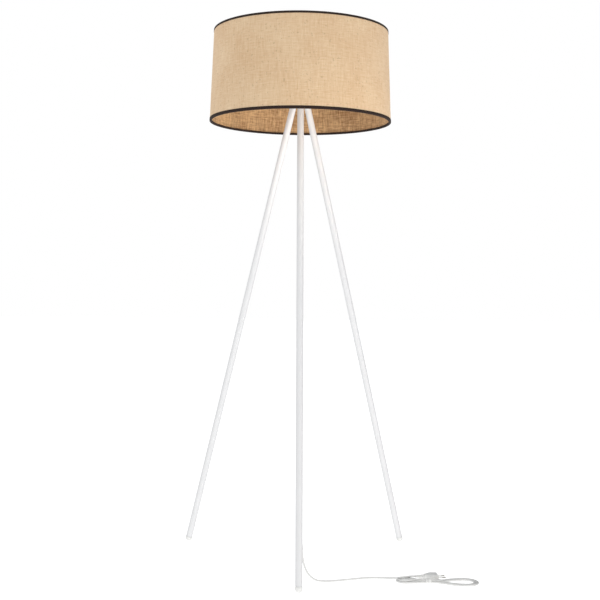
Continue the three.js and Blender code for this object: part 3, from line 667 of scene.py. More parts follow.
class LAMP_OT_stage(bpy.types.Operator):
    """Adds the white floor, the soft studio light and the camera"""

    bl_idname = "floor_lamp.stage"
    bl_label = "Studio"

    def execute(self, context):
        only()
        bpy.ops.mesh.primitive_plane_add(size=40, location=(0, 0, 0))
        floor = context.object
        floor.name = "studio_floor"
        paper = new_material(
            "Backlit White Acrylic", (0.8, 0.8, 0.8), 0.95,
            Emission_Color=(1, 1, 1, 1), Emission_Strength=0.62, Specular_IOR_Level=0.0,
        )[0]
        floor.data.materials.append(paper)
        self.lights(context)
        self.world(context)
        self.camera(context)
        return {"FINISHED"}

    def lights(self, context):
        panels = (
            ("key_panel", (3.5, -1.1, 1.6), (0.0, 0.0, 1.1), 1.8, 15, "#F4F7FF"),
            ("low_panel", (2.6, -2.4, 0.35), (-0.2, 0.2, 1.25), 0.7, 17, "#FFF8EE"),
            ("top_panel", (0.3, 0.2, 4.2), (0.0, 0.0, 0.0), 5.0, 36, "#FFFFFF"),
        )
        for name, at, aim, size, power, tone in panels:
            light = bpy.data.lights.new(name, "AREA")
            light.size = size
            light.energy = power
            light.color = linear(tone)
            panel = bpy.data.objects.new(name, light)
            panel.location = at
            panel.rotation_euler = (Vector(aim) - Vector(at)).to_track_quat("-Z", "Y").to_euler()
            context.collection.objects.link(panel)
        # A narrow spot from below the right side reaches the drum's left inner wall.
        at, aim = Vector((1.15, -1.2, 0.35)), Vector((-0.12, 0.12, 1.2))
        light = bpy.data.lights.new("inner_spot", "SPOT")
        light.energy = 60
        light.spot_size = math.radians(13)
        light.spot_blend = 0.8
        light.shadow_soft_size = 0.2
        light.color = linear("#FFF4E4")
        spot = bpy.data.objects.new("inner_spot", light)
        spot.location = at
        spot.rotation_euler = (aim - at).to_track_quat("-Z", "Y").to_euler()
        context.collection.objects.link(spot)

    def world(self, context):
        world = bpy.data.worlds.new("White Studio")
        context.scene.world = world
        world.use_nodes = True
        tree = world.node_tree
        tree.nodes.clear()
        seen = add_node(tree, "ShaderNodeBackground", {"Color": (1, 1, 1, 1), "Strength": 1.0})
        # A little more light from the left than from the front keeps the drum even.
        way = add_node(tree, "ShaderNodeTexCoord").outputs["Generated"]
        side = add_node(tree, "ShaderNodeSeparateXYZ", {0: way}).outputs[0]
        level = add_node(
            tree, "ShaderNodeMapRange",
            {"Value": side, "From Min": -0.9, "From Max": 0.9, "To Min": 0.88, "To Max": 0.34},
        )
        cast = add_node(
            tree, "ShaderNodeBackground",
            {"Color": (0.98, 0.99, 1, 1), "Strength": level.outputs[0]},
        )
        path = add_node(tree, "ShaderNodeLightPath")
        mix = add_node(
            tree, "ShaderNodeMixShader",
            {0: path.outputs["Is Camera Ray"], 1: cast.outputs[0], 2: seen.outputs[0]},
        )
        add_node(tree, "ShaderNodeOutputWorld", {0: mix.outputs[0]})
        context.scene.view_settings.view_transform = "Standard"

    def camera(self, context):
        """Stands a little to the left of the lamp, at table height, and looks nearly level."""
        heading, pitch, roll = (math.radians(a) for a in (1.425, -0.84, 0.61))
        ahead = Vector((
            math.sin(heading) * math.cos(pitch), math.cos(heading) * math.cos(pitch),
            math.sin(pitch),
        ))
        level = Vector((math.cos(heading), -math.sin(heading), 0))
        upright = level.cross(ahead)
        right = level * math.cos(roll) + upright * math.sin(roll)
        up = upright * math.cos(roll) - level * math.sin(roll)
        data = bpy.data.cameras.new("studio_camera")
        data.lens = 65.3
        data.sensor_width = 36.0
        data.clip_end = 60.0
        camera = bpy.data.objects.new("studio_camera", data)
        turned = Matrix((right, up, -ahead)).transposed().to_4x4()
        camera.matrix_world = Matrix.Translation((-0.0704, -3.0116 + AXIS_Y * MM, 0.755)) @ turned
        context.collection.objects.link(camera)
        context.scene.camera = camera


# ------------------------------------------------------------------ mains lead


def eased(keys, at):
    """A level through (place, value) keys, smooth between them."""
    if at <= keys[0][0]:
        return keys[0][1]
    for (a, low), (b, high) in zip(keys, keys[1:]):
        if at <= b:
            t = (at - a) / (b - a)
            return low + (high - low) * t * t * (3 - 2 * t)
    return keys[-1][1]


def double_bend(start, end, beside=0.0, count=12):
    """Two equal arcs, level at both ends, or a line that keeps a distance beside them."""
    run, rise = end[0] - start[0], end[1] - start[1]
    way = math.copysign(1, rise)
    radius = (run**2 + rise**2) / (4 * abs(rise))
    reach = 2 * math.atan(abs(rise) / run)
    points = []
    for (x, y), side in ((start, 1), (end, -1)):
        half = []
        for i in range(count + 1):
            t = reach * i / count
            half.append((
                x + side * radius * math.sin(t) - way * beside * math.sin(t),
                y + side * way * radius * (1 - math.cos(t)) + beside * math.cos(t),
            ))
        points += half if side == 1 else half[-2::-1]
    return points


def fold(centre, radius, start, end, z, count=16):
    angles = [math.radians(start + (end - start) * i / count) for i in range(1, count)]
    return [
        (centre[0] + radius * math.cos(a), centre[1] + radius * math.sin(a), z) for a in angles
    ]


def strand(lobe, waist, eye, heights, start=None, end=TIE_LEFT, beside=0.0, right=None):
    """One strand of the hank from its left lobe, through the tie, to its right eye. lobe,
    waist and eye are its places across; right says how it moves beside the innermost one."""
    left = double_bend(
        (start or LOBE[0], LOBE[1] + lobe), (end, WAIST[1] + waist), beside
    )
    if start:
        left.insert(0, (LOBE[0], LOBE[1] + lobe))
    middle = [
        (end + (TIE_RIGHT - end) * i / 6, WAIST[1] + waist + beside) for i in range(1, 6)
    ]
    inner = (waist, eye) if right is None else right[0]
    shifts = ((0.0, beside), (1.0, beside)) if right is None else right[1]
    ends = ((TIE_RIGHT, WAIST[1] + inner[0]), (EYE[0], EYE[1] + inner[1]))
    base, other = double_bend(*ends, 0.0, 16), double_bend(*ends, 1.0, 16)
    out = []
    for (x, y), (u, v) in zip(base, other):
        k = eased(shifts, x)
        out.append((x + (u - x) * k, y + (v - y) * k))
    return [(x, y, eased(heights, x)) for x, y in left + middle + out]


def hank_line():
    """Six runs between the lobe and the eye, the last two riding in the grooves of the others
    through the tie, and a tail that crosses over to the plug."""
    diameter, pitch = lead().diameter / MM, lead().pitch / MM
    low = diameter / 2 + 0.05
    top = low + math.sqrt(diameter**2 - (diameter / 2) ** 2) + 0.04
    lift = 0.8  # the tie passes under the strands
    floor = ((282, low), (312, low + lift), (352, low + lift), (372, low))
    eye = 21.5  # inner radius of the open end
    runs = {
        5: strand(14.4, -2.4, eye, floor),
        3: strand(14.4, -2.4, eye, floor, beside=pitch),
        1: strand(14.4, -2.4, eye, floor, beside=2 * pitch),
        2: strand(-19.2, -7.25, 0, floor, start=294,
                  right=((0, -eye), ((340, -7.25), (358, -2 * pitch)))),
        4: strand(-14.4, -4.85, 0, ((290, low), (312, top + lift), (352, top + lift), (378, low)),
                  right=((0, -eye), ((0, -pitch), (1, -pitch)))),
        6: strand(-16.8, 0.0, -eye, (
            (271.6, top), (279, top + 0.8), (300, top + 0.9), (310, top + lift + 0.75),
            (322, top + lift + 0.1), (330, top + lift), (340, top + lift),
            (348, top + lift + 0.65), (355, top + lift + 0.35), (378, low)), end=312),
    }
    tail_heights = ((271.6, top), (277, top + 0.75), (289, top + 0.8), (302, PLUG[2]))
    tail = [
        (x, y, eased(tail_heights, x))
        for x, y in double_bend((LOBE[0], LOBE[1] + 16.8), PLUG[:2], 0.0, 8)
    ]
    return (
        runs[1] + fold(EYE, eye + 2 * pitch, 90, -90, low, 20) + runs[2][::-1]
        + fold(LOBE, 19.22, -90, -270, low, 14)
        + runs[3] + fold(EYE, eye + pitch, 90, -90, low, 18) + runs[4][::-1]
        + fold(LOBE, 14.4, -90, -270, low, 12)
        + runs[5] + fold(EYE, eye, 90, -90, low, 16) + runs[6][::-1]
        + fold(LOBE, 16.8, -90, -270, top, 13)
        + tail
    )


def free_line():
    """A smooth line through the drop and the run, with centripetal spacing."""
    low = lead().diameter / MM / 2 + 0.05
    keys = [Vector(p) for p in [LEAD_EXIT, *LEAD_DROP, *((x, y, low) for x, y in LEAD_RUN)]]
    keys = [2 * keys[0] - keys[1], *keys, 2 * keys[-1] - keys[-2]]
    points = []
    for p in zip(keys, keys[1:], keys[2:], keys[3:]):
        t = [0.0]
        for a, b in zip(p, p[1:]):
            t.append(t[-1] + math.sqrt((b - a).length))
        for i in range(8):
            at = t[1] + (t[2] - t[1]) * i / 8
            a = [p[k].lerp(p[k + 1], (at - t[k]) / (t[k + 1] - t[k])) for k in range(3)]
            b = [a[k].lerp(a[k + 1], (at - t[k]) / (t[k + 2] - t[k])) for k in range(2)]
            points.append(b[0].lerp(b[1], (at - t[1]) / (t[2] - t[1])))
    return points


def spaced(points, step):
    """The same line with even steps."""
    lengths = [0.0]
    for a, b in zip(points, points[1:]):
        lengths.append(lengths[-1] + (b - a).length)
    count = round(lengths[-1] / step)
    out, k = [], 0
    for i in range(count + 1):
        at = lengths[-1] * i / count
        while k < len(points) - 2 and lengths[k + 1] < at:
            k += 1
        out.append(points[k].lerp(points[k + 1], (at - lengths[k]) / (lengths[k + 1] - lengths[k])))
    return out


def lead_line():
    """The whole lead's middle, in metres in the frame."""
    raw = free_line() + [Vector(p) for p in hank_line()]
    line = [raw[0]] + [b for a, b in zip(raw, raw[1:]) if (b - a).length > 1e-4]
    line = spaced(line, 2.0)
    for _ in range(30):
        for k in (0.5, -0.52):  # evens out the bends without drawing them tighter
            middle = [
                b + k * ((a + c) / 2 - b) for a, b, c in zip(line, line[1:], line[2:])
            ]
            line = [line[0], *middle, line[-1]]
    return [Vector((p.x, p.y + AXIS_Y, p.z)) * MM for p in spaced(line, 3.0)]


class LAMP_OT_lead(bpy.types.Operator):
    """Lays the mains lead from the front leg to its hank and its plug"""

    bl_idname = "floor_lamp.lead"
    bl_label = "Mains lead"

    def execute(self, context):
        points = lead_line()
        data = bpy.data.curves.new("mains_lead", "CURVE")
        data.dimensions = "3D"
        data.bevel_depth = lead().diameter / 2
        data.bevel_resolution = 4
        data.use_fill_caps = True
        spline = data.splines.new("POLY")
        spline.points.add(len(points) - 1)
        for point, at in zip(spline.points, points):
            point.co = (*at, 1.0)
        spline.use_smooth = True
        piece = bpy.data.objects.new("mains_lead", data)
        context.collection.objects.link(piece)
        done(piece, finish("sheath"), "stand", "cord_pvc", "cord_free", "cord_hank")
        return {"FINISHED"}


def circle_hull(circles, radius, count=28):
    """The outline of a band drawn tight round circles, in order."""
    cloud = sorted({
        (round(y + radius * math.cos(2 * math.pi * i / count), 5),
         round(z + radius * math.sin(2 * math.pi * i / count), 5))
        for y, z in circles for i in range(count)
    })
    halves = []
    for points in (cloud, cloud[::-1]):
        hull = []
        for p in points:
            while len(hull) > 1 and (
                (hull[-1][0] - hull[-2][0]) * (p[1] - hull[-2][1])
                - (hull[-1][1] - hull[-2][1]) * (p[0] - hull[-2][0])
            ) <= 0:
                hull.pop()
            hull.append(p)
        halves += hull[:-1]
    return halves


class LAMP_OT_tie(bpy.types.Operator):
    """Wraps the twist tie round the hank's waist"""

    bl_idname = "floor_lamp.tie"
    bl_label = "Twist tie"

    def wrap(self, name, x, slant):
        """One turn of flat tie, drawn tight round the six strands."""
        low, top = 3.3, 7.5
        strands = [(7.3, low), (2.45, low), (-2.4, low), (-7.25, low), (0.0, top), (-4.85, top)]
        outline = circle_hull(strands, 2.55)
        only()
        bpy.ops.mesh.primitive_circle_add(vertices=len(outline), radius=MM, location=(0, 0, 0))
        band = bpy.context.object
        band.name = name
        for vertex, (y, z) in zip(band.data.vertices, outline):
            lean = slant * y / 10
            vertex.co = Vector((x + lean - 2.0, WAIST[1] + y + AXIS_Y, z)) * MM
        bpy.ops.object.mode_set(mode="EDIT")
        bpy.ops.mesh.select_all(action="SELECT")
        bpy.ops.mesh.extrude_region_move(TRANSFORM_OT_translate={"value": (4.0 * MM, 0, 0)})
        bpy.ops.mesh.select_all(action="SELECT")
        bpy.ops.mesh.normals_make_consistent(inside=False)
        bpy.ops.object.mode_set(mode="OBJECT")
        finished_by(band, "SOLIDIFY", thickness=0.5 * MM, offset=1.0)
        return bevelled(band, 0.15, 1)

    def tail(self, name, start, end, turns):
        """Two ends of the tie twisted round each other."""
        line = end - start
        across = line.orthogonal().normalized()
        other = line.normalized().cross(across)
        data = bpy.data.curves.new(name, "CURVE")
        data.dimensions = "3D"
        data.bevel_depth = 0.75 * MM
        data.bevel_resolution = 2
        data.use_fill_caps = True
        for phase in (0, math.pi):
            spline = data.splines.new("POLY")
            count = 24
            spline.points.add(count)
            for i in range(count + 1):
                t = i / count
                angle = phase + 2 * math.pi * turns * t
                spread = 0.8 + 0.6 * max(0.0, t - 0.7)
                away = across * math.cos(angle) + other * math.sin(angle)
                at = start + line * t + away * spread
                spline.points[i].co = (*(at * MM), 1.0)
        curve = bpy.data.objects.new(name, data)
        bpy.context.collection.objects.link(curve)
        only(curve)
        bpy.ops.object.convert(target="MESH")
        bpy.ops.object.mode_set(mode="EDIT")
        bpy.ops.mesh.select_all(action="SELECT")
        bpy.ops.mesh.remove_doubles(threshold=1e-6)
        bpy.ops.mesh.normals_make_consistent(inside=False)
        bpy.ops.object.mode_set(mode="OBJECT")
        return curve

    def execute(self, context):
        bands = [self.wrap(f"tie_turn_{i}", x, slant)
                 for i, (x, slant) in enumerate(((327.3, 0.7), (331.9, -0.6), (336.6, 0.8)))]
        near = AXIS_Y + WAIST[1] - 3
        root, end = Vector((334.5, near, 10.6)), Vector((346.0, near - 2, 11.4))
        tail = self.tail("tie_tail", root, end, 3)
        piece = joined(bands[0], *bands[1:], tail)
        piece.name = "hank_tie"
        done(piece, finish("plastic"), "stand", "white_plastic", "cord_tie")
        return {"FINISHED"}


class LAMP_OT_plug(bpy.types.Operator):
    """Models the flat two-pin plug at the end of the lead"""

    bl_idname = "floor_lamp.plug"
    bl_label = "Plug"

    def body(self):
        only()
        bpy.ops.mesh.primitive_cube_add(size=1, location=(0, 0, 0))
        body = bpy.context.object
        body.scale = (37 * MM, 35.3 * MM, 13.7 * MM)
        body.location = (39.5 * MM, 0, 0)
        bpy.ops.object.transform_apply(location=True, rotation=True, scale=True)
        stations = ((21.0, 0.40, 0.80), (27.0, 0.46, 0.92), (31.0, 0.66, 1.0), (35.0, 0.90, 1.0),
                    (39.0, 1.0, 1.0), (55.0, 1.0, 1.0))
        bpy.ops.object.mode_set(mode="EDIT")
        for x, _, _ in stations[1:]:
            bpy.ops.mesh.select_all(action="SELECT")
            bpy.ops.mesh.bisect(plane_co=(x * MM, 0, 0), plane_no=(1, 0, 0))
        bpy.ops.object.mode_set(mode="OBJECT")
        for vertex in body.data.vertices:
            for x, wide, thick in stations:
                if abs(vertex.co.x / MM - x) < 0.1:
                    vertex.co.y *= wide
                    vertex.co.z *= thick
            if vertex.co.x / MM > 57.5:
                vertex.co.y *= 0.94
                vertex.co.z *= 0.86
        return bevelled(body, 2.6, 4, 28)

    def sleeve(self):
        """Tapered relief with three ribs."""
        outline = [(0, 0), (3.1, 0), (3.3, 0.6)]
        for i in range(4):
            z = 3.0 + i * 4.6
            wide = 3.4 + i * 0.5
            outline += [(wide, z), (wide - 0.5, z + 0.5), (wide - 0.4, z + 1.6),
                        (wide + 0.3, z + 2.1)]
        outline += [(5.4, 22), (5.4, 27), (0, 27)]
        return put(spun("plug_sleeve", outline, 40, True), turn(90, "Y"))

    def tools(self):
        """Everything that is cut out: pin sockets and grip grooves."""
        cutters = []
        for side in (-1, 1):
            socket = rod("socket", 2.3, 50, 62, 32)
            cutters.append(put(socket, shift(y=side * 9.3) @ turn(90, "Y")))
            for x in (42.0, 45.2, 48.4, 51.6):
                groove = rod("groove", 1.0, -10, 10, 16)
                cutters.append(put(groove, shift(x=x, y=side * 18.15)))
        return joined(*cutters)

    def pin(self, name, side):
        outline = [(0, 50.3), (1.9, 50.3), (1.9, 74.6)] + arc(0.55, 75.6, 1.35, 0, 90, 5)
        outline += [(0, outline[-1][1])]
        pin = spun(name, outline, 40, True)
        return put(pin, shift(PLUG[0], PLUG[1] + AXIS_Y + side * 9.3, PLUG[2]) @ turn(90, "Y"))

    def execute(self, context):
        body = combined(self.body(), self.sleeve(), "UNION")
        body = combined(body, self.tools())
        body.name = "plug_moulding"
        put(body, shift(PLUG[0], PLUG[1] + AXIS_Y, PLUG[2]))
        done(body, finish("plastic"), "stand", "white_plastic", "plug_body")
        for name, side in (("near", -1), ("far", 1)):
            pin = self.pin(f"contact_pin_{name}", side)
            done(pin, finish("nickel"), "stand", "nickel_plate", f"plug_pin_{name}")
            sleeve = spun(f"pin_sleeve_{name}", [
                (1.94, 58.2), (2.05, 58.2), (2.05, 67.6), (1.94, 67.9)], 40)
            put(sleeve, shift(PLUG[0], PLUG[1] + AXIS_Y + side * 9.3, PLUG[2]) @ turn(90, "Y"))
            done(sleeve, finish("plastic"), "stand", "white_plastic")
        return {"FINISHED"}


# ------------------------------------------------------------------ stand


class LAMP_OT_legs(bpy.types.Operator):
    """Models the three leg tubes, with the lead's hole in the front one"""

    bl_idname = "floor_lamp.legs"
    bl_label = "Leg tubes"

    def execute(self, context):
        outer, bore = stand().tube_radius / MM, stand().tube_bore / MM
        low, high = along_leg(8) + 5.2 + GAP, along_leg(CAVITY_Z - 3)
        edge = 0.25
        outline = [
            (bore, low + edge), (bore + edge, low), (outer - edge, low), (outer, low + edge),
            (outer, high - edge), (outer - edge, high), (bore + edge, high), (bore, high - edge),
        ]
        tube = spun("leg_tube", outline)
        for side in LEG_AZIMUTHS:
            leg = put(twin(tube, f"leg_tube_{side}"), on_leg(side))
            if side == "front":
                leg = combined(leg, put(rod("drill", 4.5, -9, 9), exit_line()))
            done(leg, finish("powder"), "stand", "powder_coat", f"leg_{side}")
        bpy.data.objects.remove(tube)
        return {"FINISHED"}


class LAMP_OT_feet(bpy.types.Operator):
    """Models the rounded plastic caps that the tubes stand on"""

    bl_idname = "floor_lamp.feet"
    bl_label = "Foot caps"

    def execute(self, context):
        radius = stand().cap_radius / MM
        centre = along_leg(8)
        top = centre + 5.2
        outline = arc(0, centre, radius, -90, 0, 14)
        outline += [
            (radius, top - 1.1), (radius - 0.25, top - 0.9), (radius - 0.25, top - 0.6),
            (radius, top - 0.4), (radius - 0.2, top), (7.4, top), (7.4, top + 2),
        ]
        for z in (4, 8, 12):  # ribs that grip the tube's bore
            outline += [(7.4, top + z), (7.75, top + z + 0.6), (7.4, top + z + 1.6)]
        outline += [(7.2, top + 18), (0, top + 18)]
        cap = spun("foot_cap", outline, axis_ends=True)
        for side in LEG_AZIMUTHS:
            foot = put(twin(cap, f"foot_glide_{side}"), on_leg(side))
            only(foot)
            bpy.ops.object.mode_set(mode="EDIT")
            bpy.ops.mesh.select_all(action="SELECT")
            bpy.ops.mesh.bisect(
                plane_co=(0, 0, 0.00002), plane_no=(0, 0, 1), use_fill=True, clear_inner=True
            )
            bpy.ops.object.mode_set(mode="OBJECT")
            done(foot, finish("plastic"), "stand", "white_plastic", f"foot_cap_{side}")
        bpy.data.objects.remove(cap)
        return {"FINISHED"}


class LAMP_OT_relief(bpy.types.Operator):
    """Models the tapered strain relief where the lead leaves the front leg"""

    bl_idname = "floor_lamp.relief"
    bl_label = "Strain relief"

    def execute(self, context):
        bore = 2.7
        outline = [(bore, -6), (6.0, -6), (5.9, 3.5)]
        for i in range(4):  # ribs and slots that let it bend evenly
            z = 5.0 + i * 4.6
            wide = 5.5 - i * 0.45
            outline += [(wide, z), (wide - 0.8, z + 0.4), (wide - 0.9, z + 1.7),
                        (wide - 0.2, z + 2.1)]
        outline += [(3.5, RELIEF_LENGTH - 1.2), (3.2, RELIEF_LENGTH), (bore, RELIEF_LENGTH)]
        sleeve = put(spun("relief_sleeve", outline, 48), exit_line())
        around = on_leg("front")
        clear = stand().tube_radius / MM + GAP
        leg = put(rod("leg_space", clear, EXIT_HEIGHT - 60, EXIT_HEIGHT + 60, 64), around)
        combined(sleeve, leg)
        saddle = spun("relief_saddle", [
            (clear, EXIT_HEIGHT - 30), (clear + 1.2, EXIT_HEIGHT - 30),
            (clear + 1.2, EXIT_HEIGHT + 30), (clear, EXIT_HEIGHT + 30)], 64)
        put(saddle, around)
        tool = put(spun("saddle_tool", [(0, -12), (7.4, -12), (7.4, 12), (0, 12)], 48, True),
                   exit_line())
        combined(saddle, tool, "INTERSECT")
        combined(saddle, put(rod("bore", bore, -20, 20), exit_line()))
        piece = combined(sleeve, saddle, "UNION")
        piece.name = "lead_relief"
        done(piece, finish("plastic"), "stand", "white_plastic", "cord_strain_relief")
        return {"FINISHED"}


class LAMP_OT_hub(bpy.types.Operator):
    """Models the hub, its cover and the screws that hold them"""

    bl_idname = "floor_lamp.hub"
    bl_label = "Hub"

    def drilled(self, piece, radius, low, high, matrices, sides=32):
        holes = [put(rod("hole", radius, low, high, sides), matrix) for matrix in matrices]
        return mended(combined(piece, joined(*holes)))

    def set_screws(self):
        lying = turn(90, "Y")
        places = [ON_AXIS @ turn(azimuth) @ shift(z=HUB_Z + 8) @ lying
                  for azimuth in LEG_AZIMUTHS.values()]
        for side, place in zip(LEG_AZIMUTHS, places):
            screw = rod(f"grub_screw_{side}", 2.5, 28.3, 33.6, 32, 0.3)
            threaded(screw, 28.6, 33.3, 0.8, 0.35, 2.0)
            socket = rod("hex_socket", 1.45, 31.2, 36, 6)
            combined(screw, socket)
            put(screw, place)
            done(screw, finish("zinc"), "stand", "zinc_steel", f"leg_set_screw_{side}")
        return places

    def cover_screws(self):
        head = COVER_TOP + GAP
        for i, azimuth in enumerate(COVER_SCREW_AZIMUTHS):
            outline = [(0, HUB_TOP - 9), (1.5, HUB_TOP - 9), (1.5, head), (2.8, head),
                       (2.8, head + 0.9)]
            outline += arc(1.4, head + 0.9, 1.4, 15, 80, 4) + [(0, head + 2.2)]
            screw = spun(f"pan_head_screw_{i + 1}", outline, 40, True)
            only()
            bpy.ops.mesh.primitive_cube_add(size=1, location=(0, 0, (head + 2.0) * MM))
            slot = bpy.context.object
            slot.scale = (8 * MM, 0.7 * MM, 1.8 * MM)
            combined(screw, slot)
            put(screw, ON_AXIS @ turn(azimuth) @ shift(x=30.5))
            done(screw, finish("zinc"), "stand", "zinc_steel", f"cover_screw_{i + 1}")

    def execute(self, context):
        radius = stand().hub_radius / MM
        hub = spun("hub_casting", [
            (0, HUB_Z), (radius - 2.2, HUB_Z), (radius - 0.6, HUB_Z + 0.7), (radius, HUB_Z + 2.2),
            (radius, HUB_TOP - 0.5), (radius - 0.5, HUB_TOP), (27.4, HUB_TOP), (27, HUB_TOP - 0.4),
            (27, CAVITY_Z), (0, CAVITY_Z)], 96, True)
        put(hub, ON_AXIS)
        self.drilled(hub, 9.3, along_leg(HUB_Z) - 20, along_leg(CAVITY_Z) + 4,
                     [on_leg(side) for side in LEG_AZIMUTHS])
        sideways = [place @ turn(4) for place in self.set_screws()]
        self.drilled(hub, 2.8, 20, 38, sideways, sides=36)
        upright = [ON_AXIS @ turn(azimuth) @ shift(x=30.5) for azimuth in COVER_SCREW_AZIMUTHS]
        self.drilled(hub, 1.8, HUB_TOP - 12, HUB_TOP + 2, upright)
        done(hub, finish("powder"), "stand", "powder_coat", "hub_body")
        low = HUB_TOP + GAP
        cover = spun("hub_lid", [
            (5.3, low), (radius, low), (radius, COVER_TOP - 1.4), (radius - 0.4, COVER_TOP - 0.4),
            (radius - 1.4, COVER_TOP), (5.3, COVER_TOP)], 96)
        put(cover, ON_AXIS)
        self.drilled(cover, 1.8, HUB_TOP, COVER_TOP + 2, upright)
        done(cover, finish("powder"), "stand", "powder_coat", "hub_cover")
        self.cover_screws()
        return {"FINISHED"}


class LAMP_OT_holder(bpy.types.Operator):
    """Models the lampholder with its switch bar and the nut that clamps the shade"""

    bl_idname = "floor_lamp.holder"
    bl_label = "Lampholder"

    def grips(self, piece, low, high, radius, every):
        """Raises every second pair of side faces between two heights."""
        only(piece)
        for face in piece.data.polygons:
            c = face.center / MM
            bearing = math.degrees(math.atan2(c.y, c.x)) % 360
            face.select = (
                low < c.z < high and math.hypot(c.x, c.y) > radius
                and abs(face.normal.z) < 0.3 and int(bearing / every) % 2 == 0
            )
        for group in (piece.data.edges, piece.data.vertices):
            for item in group:
                item.select = False
        bpy.ops.object.mode_set(mode="EDIT")
        bpy.ops.mesh.select_mode(type="FACE")
        bpy.ops.mesh.extrude_region_shrink_fatten(
            TRANSFORM_OT_shrink_fatten={"value": 0.55 * MM}
        )
        bpy.ops.object.mode_set(mode="OBJECT")
        return piece

    def execute(self, context):
        cap_z = COVER_TOP + GAP + 1 + GAP
        shell_z = cap_z + 15.1 + GAP
        seat = shell_z + 17.2
        top = shell_z + 33.7
        cap = spun("holder_dome", [
            (5.3, cap_z), (13, cap_z), (14.6, cap_z + 0.5), (17.3, cap_z + 2.4),
            (18.8, cap_z + 5), (19.2, cap_z + 7), (19.2, cap_z + 14.6), (18.8, cap_z + 15.1),
            (17.3, cap_z + 15.1), (17.3, cap_z + 7.5), (14.5, cap_z + 3.2), (5.3, cap_z + 3.2)], 72)
        self.grips(cap, cap_z + 7.2, cap_z + 14.4, 18.5, 10)
        put(cap, ON_AXIS)
        done(cap, finish("thermoset"), "stand", "white_plastic", "holder_cap")

        wall = [(19.4, z) for z in steps(seat + 0.2, top - 1.2, 0.3)]
        shell = spun("holder_barrel", [
            (17.2, shell_z), (19.1, shell_z), (19.5, shell_z + 0.4), (19.5, seat - 3),
            (20, seat - 2.5), (22.6, seat - 2.5), (23, seat - 2.1), (23, seat - 0.3),
            (22.7, seat), *wall, (18.6, top), (15.0, top), (14.8, top - 0.3),
            (14.8, shell_z + 11.2), (17.2, shell_z + 11.2)], 72)
        threaded(shell, seat + 0.2, top - 0.8, 2.5, 0.6, 18.0)
        channel = put(rod("channel", 2.6, -30, 30), shift(z=shell_z + 5.7) @ turn(90, "Y"))
        combined(shell, channel)
        put(shell, ON_AXIS)
        done(shell, finish("thermoset"), "stand", "white_plastic", "holder_shell")

        bar = spun("switch_bar", [
            (0, -24.5), (1.3, -24.5), (1.9, -24.2), (2.2, -23.5), (2.2, 23.5), (1.9, 24.2),
            (1.3, 24.5), (0, 24.5)], 32, True)
        put(bar, ON_AXIS @ shift(x=-2.5, z=shell_z + 5.7) @ turn(90, "Y"))
        done(bar, finish("plastic"), "switch_bar", "white_plastic", "switch_push_bar")

        nut_z = seat + 2.4
        nut = spun("shade_clamp_nut", [
            (19.8, nut_z), (25.3, nut_z), (25.6, nut_z + 0.3), (25.6, nut_z + 1.6),
            (25.3, nut_z + 1.9), (23, nut_z + 2.4), (23, nut_z + 6), (22.6, nut_z + 6.5),
            (20.1, nut_z + 6.5), (19.8, nut_z + 6.2)], 72)
        self.grips(nut, nut_z + 2.5, nut_z + 6.0, 22.5, 10)
        put(nut, ON_AXIS)
        done(nut, finish("thermoset"), "stand", "white_plastic", "shade_ring_nut")
        return {"FINISHED"}


class LAMP_OT_bulb(bpy.types.Operator):
    """Models the LED bulb: tip, insulator, threaded cap, body and globe"""

    bl_idname = "floor_lamp.bulb"
    bl_label = "Bulb"

    def execute(self, context):
        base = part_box("bulb_tip_contact")[0].z / MM
        tip = spun("bulb_tip", [
            (0, base), (1.8, base), (2.9, base + 0.3), (4.2, base + 1.1), (4.6, base + 1.6),
            (4.4, base + 1.8), (0, base + 1.8)], 40, True)
        put(tip, ON_AXIS)
        done(tip, finish("brass"), "bulb_carriage", "brass", "bulb_tip_contact")

        glass = spun("bulb_vitrite", [
            (0, base + 2.1), (5, base + 2.1), (6.2, base + 2.5), (9.5, base + 4.0),
            (10, base + 4.6), (0, base + 4.6)], 48, True)
        put(glass, ON_AXIS)
        done(glass, finish("insulator"), "bulb", "black_glass_insulator", "bulb_insulator")

        wall = [(13.05, z) for z in steps(base + 6.4, base + 21.6, 0.4)]
        cap = spun("bulb_thread", [
            (5.6, base + 4.9), (10.6, base + 4.9), (12.2, base + 5.6), *wall,
            (12.6, base + 22), (11.8, base + 22), (11.8, base + 6.6), (5.6, base + 5.6)], 72)
        threaded(cap, base + 6.2, base + 21.8, 3.63, 0.95, 12.5)
        put(cap, ON_AXIS)
        done(cap, finish("nickel"), "bulb", "nickel_plate", "bulb_screw_cap", degrees=60)

        body = spun("bulb_housing", [
            (11.8, base + 22.3), (13.2, base + 22.3), (13.5, base + 22.7), (13.5, base + 25),
            (14.1, base + 30), (15.8, base + 36), (18.6, base + 43), (22.6, base + 51),
            (25.2, base + 56.2), (25.9, base + 57.3), (25.6, base + 57.7), (24.4, base + 57.6),
            (17.4, base + 43.5), (12.6, base + 30.5), (11.8, base + 26)], 72)
        put(body, ON_AXIS)
        done(body, finish("plastic"), "bulb", "white_plastic", "bulb_body")

        centre, rim = base + 74, base + 58
        low = math.degrees(math.asin((rim - centre) / 30))
        globe = spun("bulb_dome",
                     arc(0, centre, 28.8, 90, low, 24) + arc(0, centre, 30, low, 90, 24),
                     72, True)
        put(globe, ON_AXIS)
        done(globe, finish("opal"), "bulb", "opal_diffuser", "bulb_globe", degrees=60)
        return {"FINISHED"}


# ------------------------------------------------------------------ shade


def tape_radius(z):
    """Outside radius of the edge tape at a height: the shade narrows a little upwards."""
    s = shade()
    t = (z - s.bottom / MM) / (s.height / MM)
    return (s.bottom_radius + (s.top_radius - s.bottom_radius) * t) / MM


def cloth_radius(z):
    return tape_radius(z) - shade().tape / MM - GAP


def film_radius(z):
    return cloth_radius(z) - shade().cloth / MM - GAP


